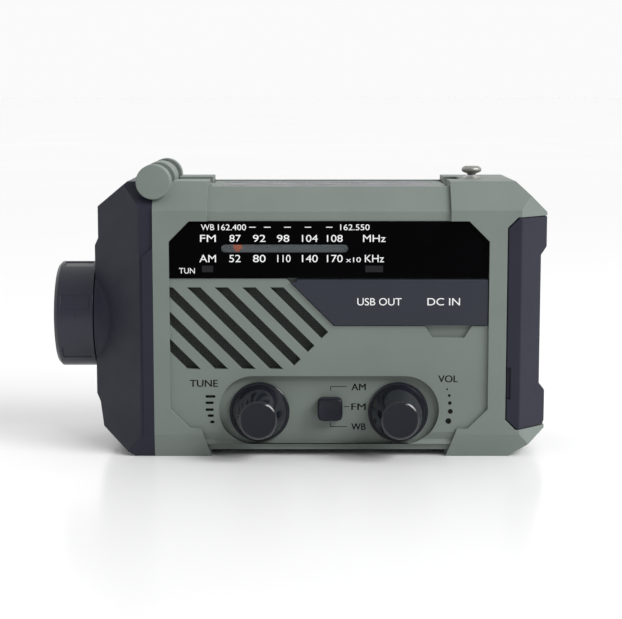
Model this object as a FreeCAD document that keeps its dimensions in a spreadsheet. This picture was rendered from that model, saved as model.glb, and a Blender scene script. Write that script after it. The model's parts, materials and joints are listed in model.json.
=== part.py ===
"""Emergency radio: a crank-charged portable radio with a torch, a reading-lamp flap and a dial.

Frame: +Z up, -Y to the front of the radio, +X to the right as seen from the front.
The pieces are laid out about the middle of the grey housing, at the height of its feet,
and every placement then moves by the origin shift, so that the document's origin lies
under the middle of the whole radio.  All lengths are in millimetres, angles in degrees.
"""
import FreeCAD, Part
import math
import os
import re

import Sketcher

Vector = FreeCAD.Vector

SIZES = {
    # Grey housing, front and rear halves
    "body_height": 90.2,        # feet to the top of the end blocks
    "half_depth": 29.0,         # parting face to the front, and to the rear
    "shell_left": 57.3,         # left face of the grey housing, out from the middle
    "shell_right": 71.8,        # right face
    "crease_height": 81.1,      # edge where the front turns back to the top
    "foot_crease": 7.5,         # edge where the front turns under
    "slope_run": 7.0,           # how far both slopes run back
    "wall": 2.2,
    "corner_flat": 9.4,         # upright chamfer at the housing's outer corners
    "top_corner_run": 10.8,     # right-hand corner seen from the front, above
    "top_corner_drop": 10.2,
    "low_corner_run": 12.8,     # and below
    "low_corner_rise": 8.0,
    # Middle panel, set back between the two end frames
    "panel_step": 1.2,
    "panel_top": 88.5,
    "panel_bottom": 2.0,
    "panel_half": 52.0,
    "bridge_half": 39.5,        # half the gap between the end blocks above the window
    "foot_gap_half": 38.0,      # half the gap between the end frames underneath
    "frame_shoulder": 16.0,     # height where each frame starts to widen
    "frame_toe": 9.5,
    "frame_toe_half": 45.5,
    # Dial window and tuning scale
    "window_bottom": 58.95,
    "window_top": 77.6,
    "window_corner": 6.6,
    "window_thick": 1.5,
    "window_proud": 0.5,
    "window_gap": 0.2,
    "scale_left": 35.0,
    "scale_right": 6.2,
    "scale_mid": 68.7,
    "scale_high": 2.6,
    "scale_lap": 1.0,           # edge of the scale lens hidden behind the window
    "scale_lens_thick": 0.8,
    "lamp_window_left": 41.3,
    "lamp_window_wide": 3.7,
    "power_window_left": 11.7,
    "power_window_wide": 5.9,
    "indicator_low": 61.0,
    "indicator_high": 2.2,
    # Dial drive
    "rail_rise": 5.5,           # rail above the scale's middle
    "rail_back": 22.0,
    "rail_radius": 0.8,
    "rail_half": 45.0,
    "pointer_rest": 29.9,
    "pointer_wide": 1.3,
    "drum_radius": 7.3,
    "drum_wide": 2.4,
    "drum_front": 16.6,
    # Speaker
    "speaker_across": 30.5,
    "speaker_up": 44.2,
    "speaker_radius": 16.0,
    "speaker_depth": 7.0,
    "basket_step": 4.2,         # depth of the basket's shoulder
    "magnet_radius": 9.5,
    "magnet_depth": 6.0,
    "mesh_thick": 0.4,
    # Grille, slanting slots
    "grille_count": 7,
    "grille_first": 12.9,
    "grille_pitch": 9.0,
    "slot_wide": 4.4,
    "grille_top": 56.0,
    "grille_bottom": 29.1,
    "grille_end": 41.6,
    # Recess with the two knobs and the band switch
    "recess_mid": 15.4,
    "recess_radius": 11.3,
    "recess_reach": 24.8,
    "recess_depth": 2.5,
    "recess_rim": 1.2,
    "knob_across": 22.8,
    "knob_up": 14.6,
    "knob_base_radius": 9.85,
    "knob_face_radius": 6.15,
    "knob_length": 16.0,
    "knob_skirt": 1.6,
    "shaft_radius": 3.0,
    "running_gap": 0.08,
    "clear_gap": 0.3,
    "slider_across": 0.4,
    "slider_up": 15.75,
    "slider_wide": 8.2,
    "slider_high": 7.5,
    "slider_deep": 4.0,
    "slider_travel": 2.3,
    "slider_stem": 2.0,
    "slider_corner": 1.2,
    "slider_dish_radius": 3.0,
    "slider_dish_deep": 0.5,
    # Connector bay and its cover
    "cover_diagonal": 45.0,
    "cover_bottom": 43.4,
    "cover_thick": 2.0,
    "roll_radius": 1.0,
    "seat_depth": 1.4,
    "notch_left": 33.7,
    "notch_right": 44.2,
    "notch_bottom": 39.5,
    "notch_flare": 2.4,
    "port_left": 7.0,
    "port_right": 50.0,
    "port_low": 45.2,
    "port_high": 56.8,
    "port_depth": 8.0,
    "socket_up": 51.0,
    "usb_across": 19.1,
    "usb_wide": 13.2,
    "usb_high": 5.7,
    "dc_across": 38.6,
    "dc_wide": 9.0,
    "dc_high": 3.4,
    "socket_wall": 0.5,
    # Circuit board
    "board_front": 9.0,
    "board_thick": 1.6,
    "board_half": 49.0,
    "board_low": 6.0,
    "board_high": 56.5,
    # Potentiometers and switch body
    "pot_radius": 8.5,
    "pot_deep": 4.6,
    "switch_body_wide": 12.0,
    "switch_body_high": 12.4,
    # Cells
    "cell_radius": 9.2,
    "cell_half": 32.5,
    "cell_front": 8.2,
    "spare_radius": 5.25,
    "spare_length": 44.5,
    "spare_pitch": 11.0,
    "spare_across": 61.2,
    "spare_up": 44.0,
    # Battery bay at the right-hand end
    "bay_left": 55.8,
    "bay_wall": 2.2,
    "bay_low": 9.0,
    "bay_high": 78.9,
    "cover_left": 57.8,
    "cover_gap": 0.2,
    "bay_corner": 3.4,          # chamfer at the mouth's inner corners
    "nail_low": 19.4,
    "nail_high": 29.6,
    "nail_wide": 1.2,
    "nail_deep": 0.9,
    "grip_recess": 2.1,
    "grip_low": 22.1,
    "grip_high": 67.3,
    "grip_slope": 1.3,
    "contact_thick": 0.5,
    "spring_height": 4.0,
    # Crank well and generator
    "well_up": 44.0,
    "well_radius": 35.0,
    "well_depth": 10.5,
    "crank_radius": 27.0,
    "crank_hub_radius": 8.0,
    "crank_end_radius": 6.2,
    "crank_thick": 3.0,
    "crank_shaft_radius": 3.0,
    "ear_thick": 1.8,
    "ear_high": 5.2,
    "grip_radius": 3.0,
    "grip_axis": 25.7,
    "pin_radius": 1.2,
    "grip_length": 18.0,
    "stem_radius": 1.5,
    "gear_module": 1.0,
    "gear_teeth": 40,
    "pinion_teeth": 10,
    "rotor_module": 0.8,
    "rotor_wheel_teeth": 40,
    "rotor_teeth": 10,
    "gear_wide": 2.6,
    "gear_back": 15.6,
    "gear_layer": 3.2,
    "idler_angle": 216.0,
    "rotor_angle": 144.0,
    "arbor_radius": 1.5,
    "plate_back": 7.4,
    "plate_thick": 1.6,
    "generator_radius": 10.5,
    "generator_deep": 11.0,
    # Telescopic antenna
    "antenna_across": 48.5,
    "antenna_low": 18.0,
    "antenna_radius": 3.3,
    "antenna_step": 0.5,
    "antenna_wall": 0.42,
    "antenna_section_count": 4,
    "antenna_tip_radius": 3.35,
    "antenna_tip_high": 3.0,
    "antenna_tip_neck": 0.9,
    "antenna_tip_dome": 0.7,
    "antenna_lift": 1.0,
    # Lamp flap with the solar panel
    "hinge_across": 56.9,
    "barrel_radius": 5.65,
    "knuckle_half": 7.3,
    "lug_inner": 22.0,          # the lugs stand outside this
    "lug_proud": 0.7,
    "pin_half": 26.0,
    "hinge_pin_radius": 1.6,
    "tray_floor": 80.0,
    "flap_half_depth": 18.6,
    "flap_gap": 0.4,
    "flap_thick": 7.6,
    "flap_top": 88.2,
    "arm_floor": 81.0,
    "scoop_run": 4.5,
    "scoop_half": 8.0,
    "scoop_floor": 83.0,
    "solar_half_long": 35.0,
    "solar_half_deep": 15.0,
    "solar_thick": 1.0,
    "diffuser_half_long": 30.0,
    "diffuser_half_deep": 7.0,
    "diffuser_thick": 1.4,
    "lamp_board_thick": 0.8,
    # Left-hand end cap and torch
    "cap_left": 76.8,
    "cap_bump": 1.3,
    "cap_flat": 16.0,           # upright chamfer towards the torch
    "bump_low": 17.0,
    "bump_high": 69.6,
    "cap_top_corner": 65.8,
    "cap_top_drop": 81.4,
    "cap_low_corner": 63.7,
    "cap_foot": 75.6,           # left end of the foot's slope
    "rib_wide": 3.5,            # upright rib beside the seam
    "rib_high": 66.1,
    "rib_rise": 3.0,
    "rib_proud": 0.8,
    "torch_up": 44.0,
    "torch_front": 91.5,
    "torch_radius": 17.8,
    "torch_edge": 1.2,
    "torch_back": 78.4,
    "torch_wall": 2.2,
    "torch_lip": 0.9,
    "torch_lip_radius": 14.8,
    "spigot_radius": 14.2,
    "spigot_length": 4.0,
    "lens_thick": 1.4,
    "reflector_wall": 0.8,
    "reflector_throat": 3.2,
    "reflector_length": 12.0,
    "led_board_thick": 1.6,
    "torch_flat_count": 6,
    "torch_flat_deep": 0.45,
    "torch_flat_wide": 5.2,
    "torch_turn": 11.25,        # turns the flats towards the front
    # Push buttons on the back
    "button_across": 46.0,
    "button_up": 72.0,
    "button_radius": 4.0,
    "button_proud": 1.2,
    "button_travel": 1.0,
    "button_flange": 4.8,
    "switch_can": 6.0,
    # Screws that join the halves
    "screw_left": 49.0,
    "screw_right": 42.0,
    "screw_high": 63.5,
    "screw_right_low": 47.5,
    "screw_low": 10.6,
    "post_radius": 3.2,
    "screw_radius": 1.4,
    "screw_head_radius": 2.7,
    "screw_head_high": 2.0,
    "screw_sink": 14.0,
    "screw_length": 26.0,
    "screw_fit": 0.05,
    "bore_spare": 1.0,          # depth left beyond a screw's end
}

doc = FreeCAD.newDocument("EmergencyRadio")
sheet = doc.addObject("Spreadsheet::Sheet", "Sizes")
for row, (alias, number) in enumerate(SIZES.items(), start=1):
    sheet.set(f"A{row}", alias)
    sheet.set(f"B{row}", str(number))
    sheet.setAlias(f"B{row}", alias)
doc.recompute()

# Shift from the layout's middle to the point under the middle of the whole radio.
KNOB_FRONT = "(half_depth - panel_step - recess_depth + clear_gap + knob_length)"
BACK_END = "(half_depth + button_proud)"
SHIFT_X = "(torch_front - shell_right) / 2"
SHIFT_Y = f"({KNOB_FRONT} - {BACK_END}) / 2"

# Depths counted from the parting face that several pieces share.
PANEL_FRONT = "(half_depth - panel_step)"
CAVITY_FRONT = "(half_depth - panel_step - wall)"
RECESS_FLOOR = "(half_depth - panel_step - recess_depth)"
WINDOW_SEAT = "(half_depth - panel_step + window_proud - window_thick)"
COVER_SEAT = "(half_depth - panel_step - seat_depth)"
WELL_FLOOR = "(half_depth - well_depth)"
RAIL_UP = "(scale_mid + rail_rise)"
CAVITY_LOW = "(panel_bottom + wall)"
CAVITY_HIGH = "(tray_floor - wall)"
SLOPE = "((body_height - crease_height) / slope_run)"
FOOT_SLOPE = "(foot_crease / slope_run)"

# Proportions of a gear tooth in modules, slimmer than standard so that meshed gears run free.
TOOTH_HEAD = 0.85
TOOTH_FOOT = 1.15
TOOTH_FOOT_HALF = 0.88
TOOTH_TIP_HALF = 0.3

SUBPARTS = []


def ref(expression):
    """Write every sheet alias in the expression as Sizes.alias."""
    return re.sub(r"[a-z][a-z_]*[a-z]", lambda m: "Sizes." + m.group() if m.group() in SIZES else m.group(),
                  expression)


def val(expression):
    """Number that the expression has with the sheet's present sizes."""
    return float(sheet.evalExpression(expression))


def place(item, across="0", back="0", up="0"):
    """Bind an object's placement to a point of the layout, moved by the origin shift."""
    item.setExpression("Placement.Base.x", ref(f"{across} + {SHIFT_X}"))
    item.setExpression("Placement.Base.y", ref(f"{back} + {SHIFT_Y}"))
    item.setExpression("Placement.Base.z", ref(up))


def new_body(label, across="0", back="0", up="0"):
    """Empty PartDesign body for one sub-part."""
    body = doc.addObject("PartDesign::Body", label)
    body.Label = label
    body.AllowCompound = True
    place(body, across, back, up)
    SUBPARTS.append(body)
    return body


def new_sketch(body, plane, offset):
    """Sketch on one of the body's own origin planes, moved along the plane's normal."""
    sketch = body.newObject("Sketcher::SketchObject", "Sketch")
    support = next(item for item in body.Origin.OriginFeatures if item.Role == plane)
    sketch.AttachmentSupport = [(support, "")]
    sketch.MapMode = "FlatFace"
    sketch.setExpression("AttachmentOffset.Base.z", ref(offset))
    return sketch


def pin_point(sketch, geometry, end, across, up):
    """Hold a sketch point at two bound distances from the sketch's origin."""
    for kind, expression in (("DistanceX", across), ("DistanceY", up)):
        index = sketch.addConstraint(Sketcher.Constraint(kind, -1, 1, geometry, end, val(expression)))
        sketch.setExpression(f"Constraints[{index}]", ref(expression))


def polygon(*corners):
    """Outline with straight sides; each corner is a pair of expressions."""
    def draw(sketch):
        points = [Vector(val(across), val(up), 0) for across, up in corners]
        first = sketch.GeometryCount
        for index, point in enumerate(points):
            sketch.addGeometry(Part.LineSegment(point, points[(index + 1) % len(points)]))
        for index in range(len(points)):
            following = first + (index + 1) % len(points)
            sketch.addConstraint(Sketcher.Constraint("Coincident", first + index, 2, following, 1))
        for index, (across, up) in enumerate(corners):
            pin_point(sketch, first + index, 1, across, up)
    return draw


def rectangle(left, low, right, high):
    """Upright rectangle between two corners."""
    return polygon((left, low), (right, low), (right, high), (left, high))


def circle(across, up, radius):
    """Full circle about a bound centre."""
    def draw(sketch):
        centre = Vector(val(across), val(up), 0)
        index = sketch.addGeometry(Part.Circle(centre, Vector(0, 0, 1), val(radius)))
        pin_point(sketch, index, 3, across, up)
        held = sketch.addConstraint(Sketcher.Constraint("Radius", index, val(radius)))
        sketch.setExpression(f"Constraints[{held}]", ref(radius))
    return draw


def slot(left, right, up, radius):
    """Level slot with round ends; left and right are the centres of the ends."""
    def draw(sketch):
        start = Vector(val(left), val(up), 0)
        end = Vector(val(right), val(up), 0)
        reach = Vector(0, val(radius), 0)
        axis = Vector(0, 0, 1)
        half, turn = math.pi / 2, math.pi * 3 / 2
        first = sketch.addGeometry(Part.ArcOfCircle(Part.Circle(start, axis, reach.y), half, turn))
        sketch.addGeometry(Part.LineSegment(start - reach, end - reach))
        sketch.addGeometry(Part.ArcOfCircle(Part.Circle(end, axis, reach.y), -half, half))
        sketch.addGeometry(Part.LineSegment(end + reach, start + reach))
        for index in range(4):
            following = first + (index + 1) % 4
            sketch.addConstraint(Sketcher.Constraint("Tangent", first + index, 2, following, 1))
        sketch.addConstraint(Sketcher.Constraint("Equal", first, first + 2))
        pin_point(sketch, first, 3, left, up)
        pin_point(sketch, first + 2, 3, right, up)
        held = sketch.addConstraint(Sketcher.Constraint("Radius", first, reach.y))
        sketch.setExpression(f"Constraints[{held}]", ref(radius))
    return draw


def prism(body, plane, start, end, *outlines, cut=False):
    """Pad or pocket of the outlines between two coordinates on the plane's axis, start below end."""
    offset = f"-({end})" if plane == "XZ_Plane" else start
    sketch = new_sketch(body, plane, offset)
    for outline in outlines:
        outline(sketch)
    feature = body.newObject("PartDesign::Pocket" if cut else "PartDesign::Pad", "Pocket" if cut else "Pad")
    feature.Profile = sketch
    feature.setExpression("Length", ref(f"({end}) - ({start})"))
    feature.Reversed = cut
    return feature


def turned(body, plane, axis, *corners, cut=False):
    """Solid of revolution of a half section about the sketch's own axis."""
    sketch = new_sketch(body, plane, "0")
    polygon(*corners)(sketch)
    feature = body.newObject("PartDesign::Groove" if cut else "PartDesign::Revolution", "Turning")
    feature.Profile = sketch
    feature.ReferenceAxis = (sketch, [axis])
    feature.Angle = 360.0
    return feature


def repeat_round(body, features, plane_axis, count):
    """Repeat features about one of the body's own origin axes."""
    pattern = body.newObject("PartDesign::PolarPattern", "PolarPattern")
    pattern.Originals = features
    pattern.Axis = (next(item for item in body.Origin.OriginFeatures if item.Role == plane_axis), [""])
    pattern.Angle = 360.0
    pattern.setExpression("Occurrences", ref(count))
    body.Tip = pattern
    return pattern


def soften(body, radius, chosen):
    """Fillet the edges of the body so far that the test chooses."""
    doc.recompute()
    base = body.Tip
    names = [f"Edge{number}" for number, edge in enumerate(base.Shape.Edges, start=1) if chosen(edge)]
    fillet = body.newObject("PartDesign::Fillet", "Fillet")
    fillet.Base = (base, names)
    fillet.setExpression("Radius", ref(radius))
    return fillet


def runs_along(edge, direction):
    """True for a straight edge parallel to the direction."""
    if len(edge.Vertexes) != 2 or edge.Curve.TypeId != "Part::GeomLine":
        return False
    run = edge.Vertexes[1].Point - edge.Vertexes[0].Point
    return run.normalize().cross(direction).Length < 1e-6


def rod(label, axis, across, back, up, radius, length):
    """Plain round rod that starts at a point and runs along one axis."""
    item = doc.addObject("Part::Cylinder", label)
    item.Label = label
    item.setExpression("Radius", ref(radius))
    item.setExpression("Height", ref(length))
    item.Placement = FreeCAD.Placement(Vector(), FreeCAD.Rotation(Vector(0, 0, 1), axis))
    place(item, across, back, up)
    SUBPARTS.append(item)
    return item


# ---------------------------------------------------------------- housing

def section(side):
    """Outer end section of one half: side is '-' for the front and '' for the back."""
    lip = f"{side}(half_depth - slope_run)"
    return polygon(("0", "0"), (lip, "0"), (f"{side}half_depth", "foot_crease"),
                   (f"{side}half_depth", "crease_height"), (lip, "body_height"), ("0", "body_height"))


def inner_section(side):
    """Section of the hollow, one wall inside the middle panel and under the flap's tray."""
    foot = f"({CAVITY_LOW} + foot_crease - wall)"
    return polygon(("0", CAVITY_LOW), (f"{side}({CAVITY_FRONT} - slope_run)", CAVITY_LOW),
                   (f"{side}{CAVITY_FRONT}", foot), (f"{side}{CAVITY_FRONT}", CAVITY_HIGH), ("0", CAVITY_HIGH))


def step_back(body, side):
    """Set the top and the underside back between the end frames, along the same slopes."""
    face = f"{side}half_depth"
    panel = f"{side}{PANEL_FRONT}"
    top_shift = f"(panel_step * sqrt(1 + {SLOPE}^2))"
    low_shift = f"(panel_step * sqrt(1 + {FOOT_SLOPE}^2))"
    top_crease = f"(crease_height + {SLOPE} * panel_step - {top_shift})"
    top_lip = f"{side}(half_depth - (panel_top - crease_height + {top_shift}) / {SLOPE})"
    low_crease = f"(foot_crease - {FOOT_SLOPE} * panel_step + {low_shift})"
    low_lip = f"{side}(half_depth - (foot_crease - panel_bottom + {low_shift}) / {FOOT_SLOPE})"
    above = polygon(("0", "panel_top"), (top_lip, "panel_top"), (panel, top_crease), (panel, "window_top"),
                    (face, "window_top"), (face, "body_height"), ("0", "body_height"))
    below = polygon(("0", "panel_bottom"), (low_lip, "panel_bottom"), (panel, low_crease),
                    (panel, "frame_toe"), (face, "frame_toe"), (face, "0"), ("0", "0"))
    prism(body, "YZ_Plane", "-bridge_half", "bridge_half", above, cut=True)
    prism(body, "YZ_Plane", "-foot_gap_half", "foot_gap_half", below, cut=True)


def trim_corners(body, front, back, face):
    """Chamfer the right-hand corners of one half, seen from the front and from above."""
    right = "shell_right"
    top = polygon((f"{right} - top_corner_run", "body_height"), (right, "body_height - top_corner_drop"),
                  (right, "body_height"))
    low = polygon((f"{right} - low_corner_run", "0"), (right, "0"), (right, "low_corner_rise"))
    prism(body, "XZ_Plane", front, back, top, low, cut=True)
    inward = "-" if face == "half_depth" else "+"
    upright = polygon((f"{right} - corner_flat", face), (right, face), (right, f"{face} {inward} corner_flat"))
    prism(body, "XY_Plane", "0", "body_height", upright, cut=True)


def hollow(body, front, back, side):
    """Main hollow and the battery bay that opens to the right."""
    prism(body, "YZ_Plane", "-(shell_left - wall)", "bay_left - bay_wall", inner_section(side), cut=True)
    mouth = polygon(("cover_left", "bay_low + bay_corner"), ("cover_left + bay_corner", "bay_low"),
                    ("shell_right", "bay_low"), ("shell_right", "bay_high"),
                    ("cover_left + bay_corner", "bay_high"), ("cover_left", "bay_high - bay_corner"))
    prism(body, "XZ_Plane", front, back, mouth, cut=True)
    deep = polygon(("0", "bay_low"), (f"{side}{CAVITY_FRONT}", "bay_low"), (f"{side}{CAVITY_FRONT}", "bay_high"),
                   ("0", "bay_high"))
    prism(body, "YZ_Plane", "bay_left", "cover_left + bay_corner", deep, cut=True)


def half_span(side, reach):
    """Span from the parting face out to a reach in front of it, or behind it."""
    return (f"-({reach})", "0") if side else ("0", reach)


def flap_tray(body, side):
    """Tray for the lamp flap, the slot for its arm and the finger scoop beside it."""
    for left, right, reach, floor in (("-bridge_half", "bridge_half", "flap_half_depth + flap_gap", "tray_floor"),
                                      ("-hinge_across", "-bridge_half", "knuckle_half + flap_gap", "arm_floor"),
                                      ("bridge_half", "bridge_half + scoop_run", "scoop_half", "scoop_floor")):
        near, far = half_span(side, reach)
        prism(body, "XY_Plane", floor, "body_height", rectangle(left, near, right, far), cut=True)


def hinge_lug(body, side):
    """Barrel lug at the top left, standing a little proud of the slope below."""
    start, end = ("-half_depth", "-lug_inner") if side else ("lug_inner", "half_depth")
    prism(body, "XZ_Plane", start, end, circle("-hinge_across", "body_height", "barrel_radius"))
    lip = f"{side}(half_depth - slope_run + lug_proud)"
    beyond = f"{side}(half_depth + barrel_radius + lug_proud)"
    trim = polygon((lip, "body_height"), (lip, "body_height + 2 * barrel_radius"),
                   (beyond, "body_height + 2 * barrel_radius"),
                   (beyond, f"body_height - {SLOPE} * (slope_run + barrel_radius)"))
    prism(body, "YZ_Plane", "-(hinge_across + 2 * barrel_radius)", "-bridge_half", trim, cut=True)
    hole = circle("-hinge_across", "body_height", "hinge_pin_radius + screw_fit")
    prism(body, "XZ_Plane", *half_span(side, "pin_half"), hole, cut=True)
    room = circle("-hinge_across", "body_height", "barrel_radius + clear_gap")
    prism(body, "XZ_Plane", *half_span(side, "lug_inner"), room, cut=True)


def screw_places():
    """Four screws as pairs of expressions, seen from the front."""
    return (("-screw_left", "screw_high"), ("screw_right", "screw_high"),
            ("-screw_left", "screw_low"), ("screw_right_low", "screw_low"))


def grille_slots():
    """Outlines of the slanting slots, each clipped by the grille's border."""
    left, top, bottom = "-panel_half", "grille_top", "grille_bottom"
    outlines = []
    for number in range(int(val("grille_count"))):
        high = f"(-grille_first + {number} * grille_pitch)"
        low = f"({high} - slot_wide)"
        corners = []
        for line in (high, low):
            upper = f"max({left}; {line} - {top})"
            lower = f"min({line} - {bottom}; ({line} - grille_end) / 2)"
            pair = [(upper, f"{line} - {upper}"), (lower, f"{line} - {lower}")]
            corners.extend(pair if line is high else reversed(pair))
        if val(low) < val(f"{left} + {top}") < val(high):
            corners.append((left, top))
        outlines.append(polygon(*corners))
    return outlines


def window_shoulders(gap):
    """Upper corners of the dial window, chamfered and held off its seat by a gap."""
    return ((f"panel_half - {gap}", "window_top - window_corner"), ("panel_half - window_corner", f"window_top - {gap}"),
            ("-(panel_half - window_corner)", f"window_top - {gap}"),
            (f"-(panel_half - {gap})", "window_top - window_corner"))


def scale_opening(gap):
    """Opening behind the window's scale slot, held off by a gap."""
    high = f"scale_high / 2 + scale_lap - {gap}"
    return rectangle(f"-(scale_left + scale_lap - {gap})", f"scale_mid - ({high})",
                     f"scale_right + scale_lap - {gap}", f"scale_mid + {high}")


def front_shell():
    """Front half of the grey housing, with window seat, grille, control recess and connector bay."""
    body = new_body("front_shell")
    prism(body, "YZ_Plane", "-shell_left", "shell_right", section("-"))
    trim_corners(body, "-half_depth", "0", "-half_depth")
    step_back(body, "-")
    shoulder = [("-panel_half", "frame_shoulder"), ("-frame_toe_half", "frame_toe"), ("frame_toe_half", "frame_toe"),
                ("panel_half", "frame_shoulder")]
    middle = polygon(*shoulder, *window_shoulders("0"))
    prism(body, "XZ_Plane", "-half_depth", f"-{PANEL_FRONT}", middle, cut=True)
    hollow(body, "-half_depth", "0", "-")
    prism(body, "XZ_Plane", f"-{PANEL_FRONT}", f"-{CAVITY_FRONT}", *grille_slots(), cut=True)

    # Thicker floors behind the recess and the connector bay.
    prism(body, "XZ_Plane", f"-{CAVITY_FRONT}", f"-({RECESS_FLOOR} - wall)",
          rectangle("-(recess_reach + recess_radius + wall)", CAVITY_LOW, "recess_reach + recess_radius + wall",
                    "recess_mid + recess_radius + recess_rim"))
    prism(body, "XZ_Plane", f"-{CAVITY_FRONT}", f"-({PANEL_FRONT} - port_depth - wall)",
          rectangle("port_left - wall", "port_low - wall", "port_right + wall", "port_high + wall"))

    window = polygon(("-panel_half", "window_bottom"), ("panel_half", "window_bottom"), *window_shoulders("0"))
    prism(body, "XZ_Plane", "-half_depth", f"-{WINDOW_SEAT}", window, cut=True)
    prism(body, "XZ_Plane", f"-{WINDOW_SEAT}", f"-{CAVITY_FRONT}", scale_opening("0"), cut=True)

    recess = slot("-recess_reach", "recess_reach", "recess_mid", "recess_radius")
    prism(body, "XZ_Plane", "-half_depth", f"-{RECESS_FLOOR}", recess, cut=True)
    stem_room = rectangle("slider_across - slider_stem / 2 - clear_gap",
                          "slider_up - slider_stem / 2 - slider_travel - clear_gap",
                          "slider_across + slider_stem / 2 + clear_gap",
                          "slider_up + slider_stem / 2 + slider_travel + clear_gap")
    holes = [circle(f"{sign}knob_across", "knob_up", "shaft_radius + clear_gap") for sign in ("-", "")]
    prism(body, "XZ_Plane", f"-{RECESS_FLOOR}", f"-({RECESS_FLOOR} - wall)", stem_room, *holes, cut=True)

    cover = polygon(("cover_diagonal - window_bottom", "window_bottom"),
                    ("cover_diagonal - cover_bottom", "cover_bottom"),
                    ("panel_half", "cover_bottom"), ("panel_half", "window_bottom"))
    prism(body, "XZ_Plane", "-half_depth", f"-{COVER_SEAT}", cover, cut=True)
    notch = polygon(("notch_left", "notch_bottom"), ("notch_right", "notch_bottom"),
                    ("notch_right + notch_flare", "cover_bottom"), ("notch_left - notch_flare", "cover_bottom"))
    prism(body, "XZ_Plane", "-half_depth", f"-{COVER_SEAT}", notch, cut=True)
    bay = rectangle("port_left", "port_low", "port_right", "port_high")
    prism(body, "XZ_Plane", f"-{COVER_SEAT}", f"-({PANEL_FRONT} - port_depth)", bay, cut=True)
    mouths = [rectangle(f"{name}_across - {name}_wide / 2 - clear_gap", f"socket_up - {name}_high / 2 - clear_gap",
                        f"{name}_across + {name}_wide / 2 + clear_gap", f"socket_up + {name}_high / 2 + clear_gap")
              for name in ("usb", "dc")]
    prism(body, "XZ_Plane", f"-({PANEL_FRONT} - port_depth)", f"-({PANEL_FRONT} - port_depth - wall)",
          *mouths, cut=True)

    posts = [circle(across, up, "post_radius") for across, up in screw_places()]
    prism(body, "XZ_Plane", f"-{CAVITY_FRONT}", "0", *posts)
    bores = [circle(across, up, "screw_radius + screw_fit") for across, up in screw_places()]
    prism(body, "XZ_Plane", "-(screw_length - (half_depth - screw_sink) + bore_spare)", "0", *bores, cut=True)
    flap_tray(body, "-")
    hinge_lug(body, "-")
    prism(body, "XY_Plane", CAVITY_HIGH, "body_height",
          circle("antenna_across", "0", "antenna_radius + clear_gap"), cut=True)
    return body


def rear_shell():
    """Rear half of the housing, with the round well for the crank."""
    body = new_body("rear_shell")
    prism(body, "YZ_Plane", "-shell_left", "shell_right", section(""))
    trim_corners(body, "0", "half_depth", "half_depth")
    step_back(body, "")
    hollow(body, "0", "half_depth", "")
    well = ("0", "well_up")
    prism(body, "XZ_Plane", f"{WELL_FLOOR} - wall", CAVITY_FRONT, circle(*well, "well_radius + wall"))
    prism(body, "XZ_Plane", WELL_FLOOR, "half_depth", circle(*well, "well_radius"), cut=True)
    prism(body, "XZ_Plane", f"{WELL_FLOOR} - wall", WELL_FLOOR,
          circle(*well, "crank_shaft_radius + running_gap"), cut=True)
    posts = [circle(across, up, "post_radius") for across, up in screw_places()]
    prism(body, "XZ_Plane", "0", CAVITY_FRONT, *posts)
    heads = [circle(across, up, "screw_head_radius + clear_gap") for across, up in screw_places()]
    prism(body, "XZ_Plane", "half_depth - screw_sink", "half_depth", *heads, cut=True)
    shanks = [circle(across, up, "screw_radius + clear_gap") for across, up in screw_places()]
    prism(body, "XZ_Plane", "0", "half_depth - screw_sink", *shanks, cut=True)
    buttons = [circle(f"{sign}button_across", "button_up", "button_radius + clear_gap") for sign in ("-", "")]
    prism(body, "XZ_Plane", CAVITY_FRONT, "half_depth", *buttons, cut=True)
    flap_tray(body, "")
    hinge_lug(body, "")
    prism(body, "XY_Plane", CAVITY_HIGH, "body_height",
          circle("antenna_across", "0", "antenna_radius + clear_gap"), cut=True)
    return body


def housing_screws():
    """Four self-tapping screws, driven from the back."""
    body = new_body("housing_screws")
    seat = "half_depth - screw_sink"
    heads = [circle(across, up, "screw_head_radius") for across, up in screw_places()]
    prism(body, "XZ_Plane", seat, f"{seat} + screw_head_high", *heads)
    shanks = [circle(across, up, "screw_radius") for across, up in screw_places()]
    prism(body, "XZ_Plane", f"{seat} - screw_length", seat, *shanks)
    return body


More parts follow.
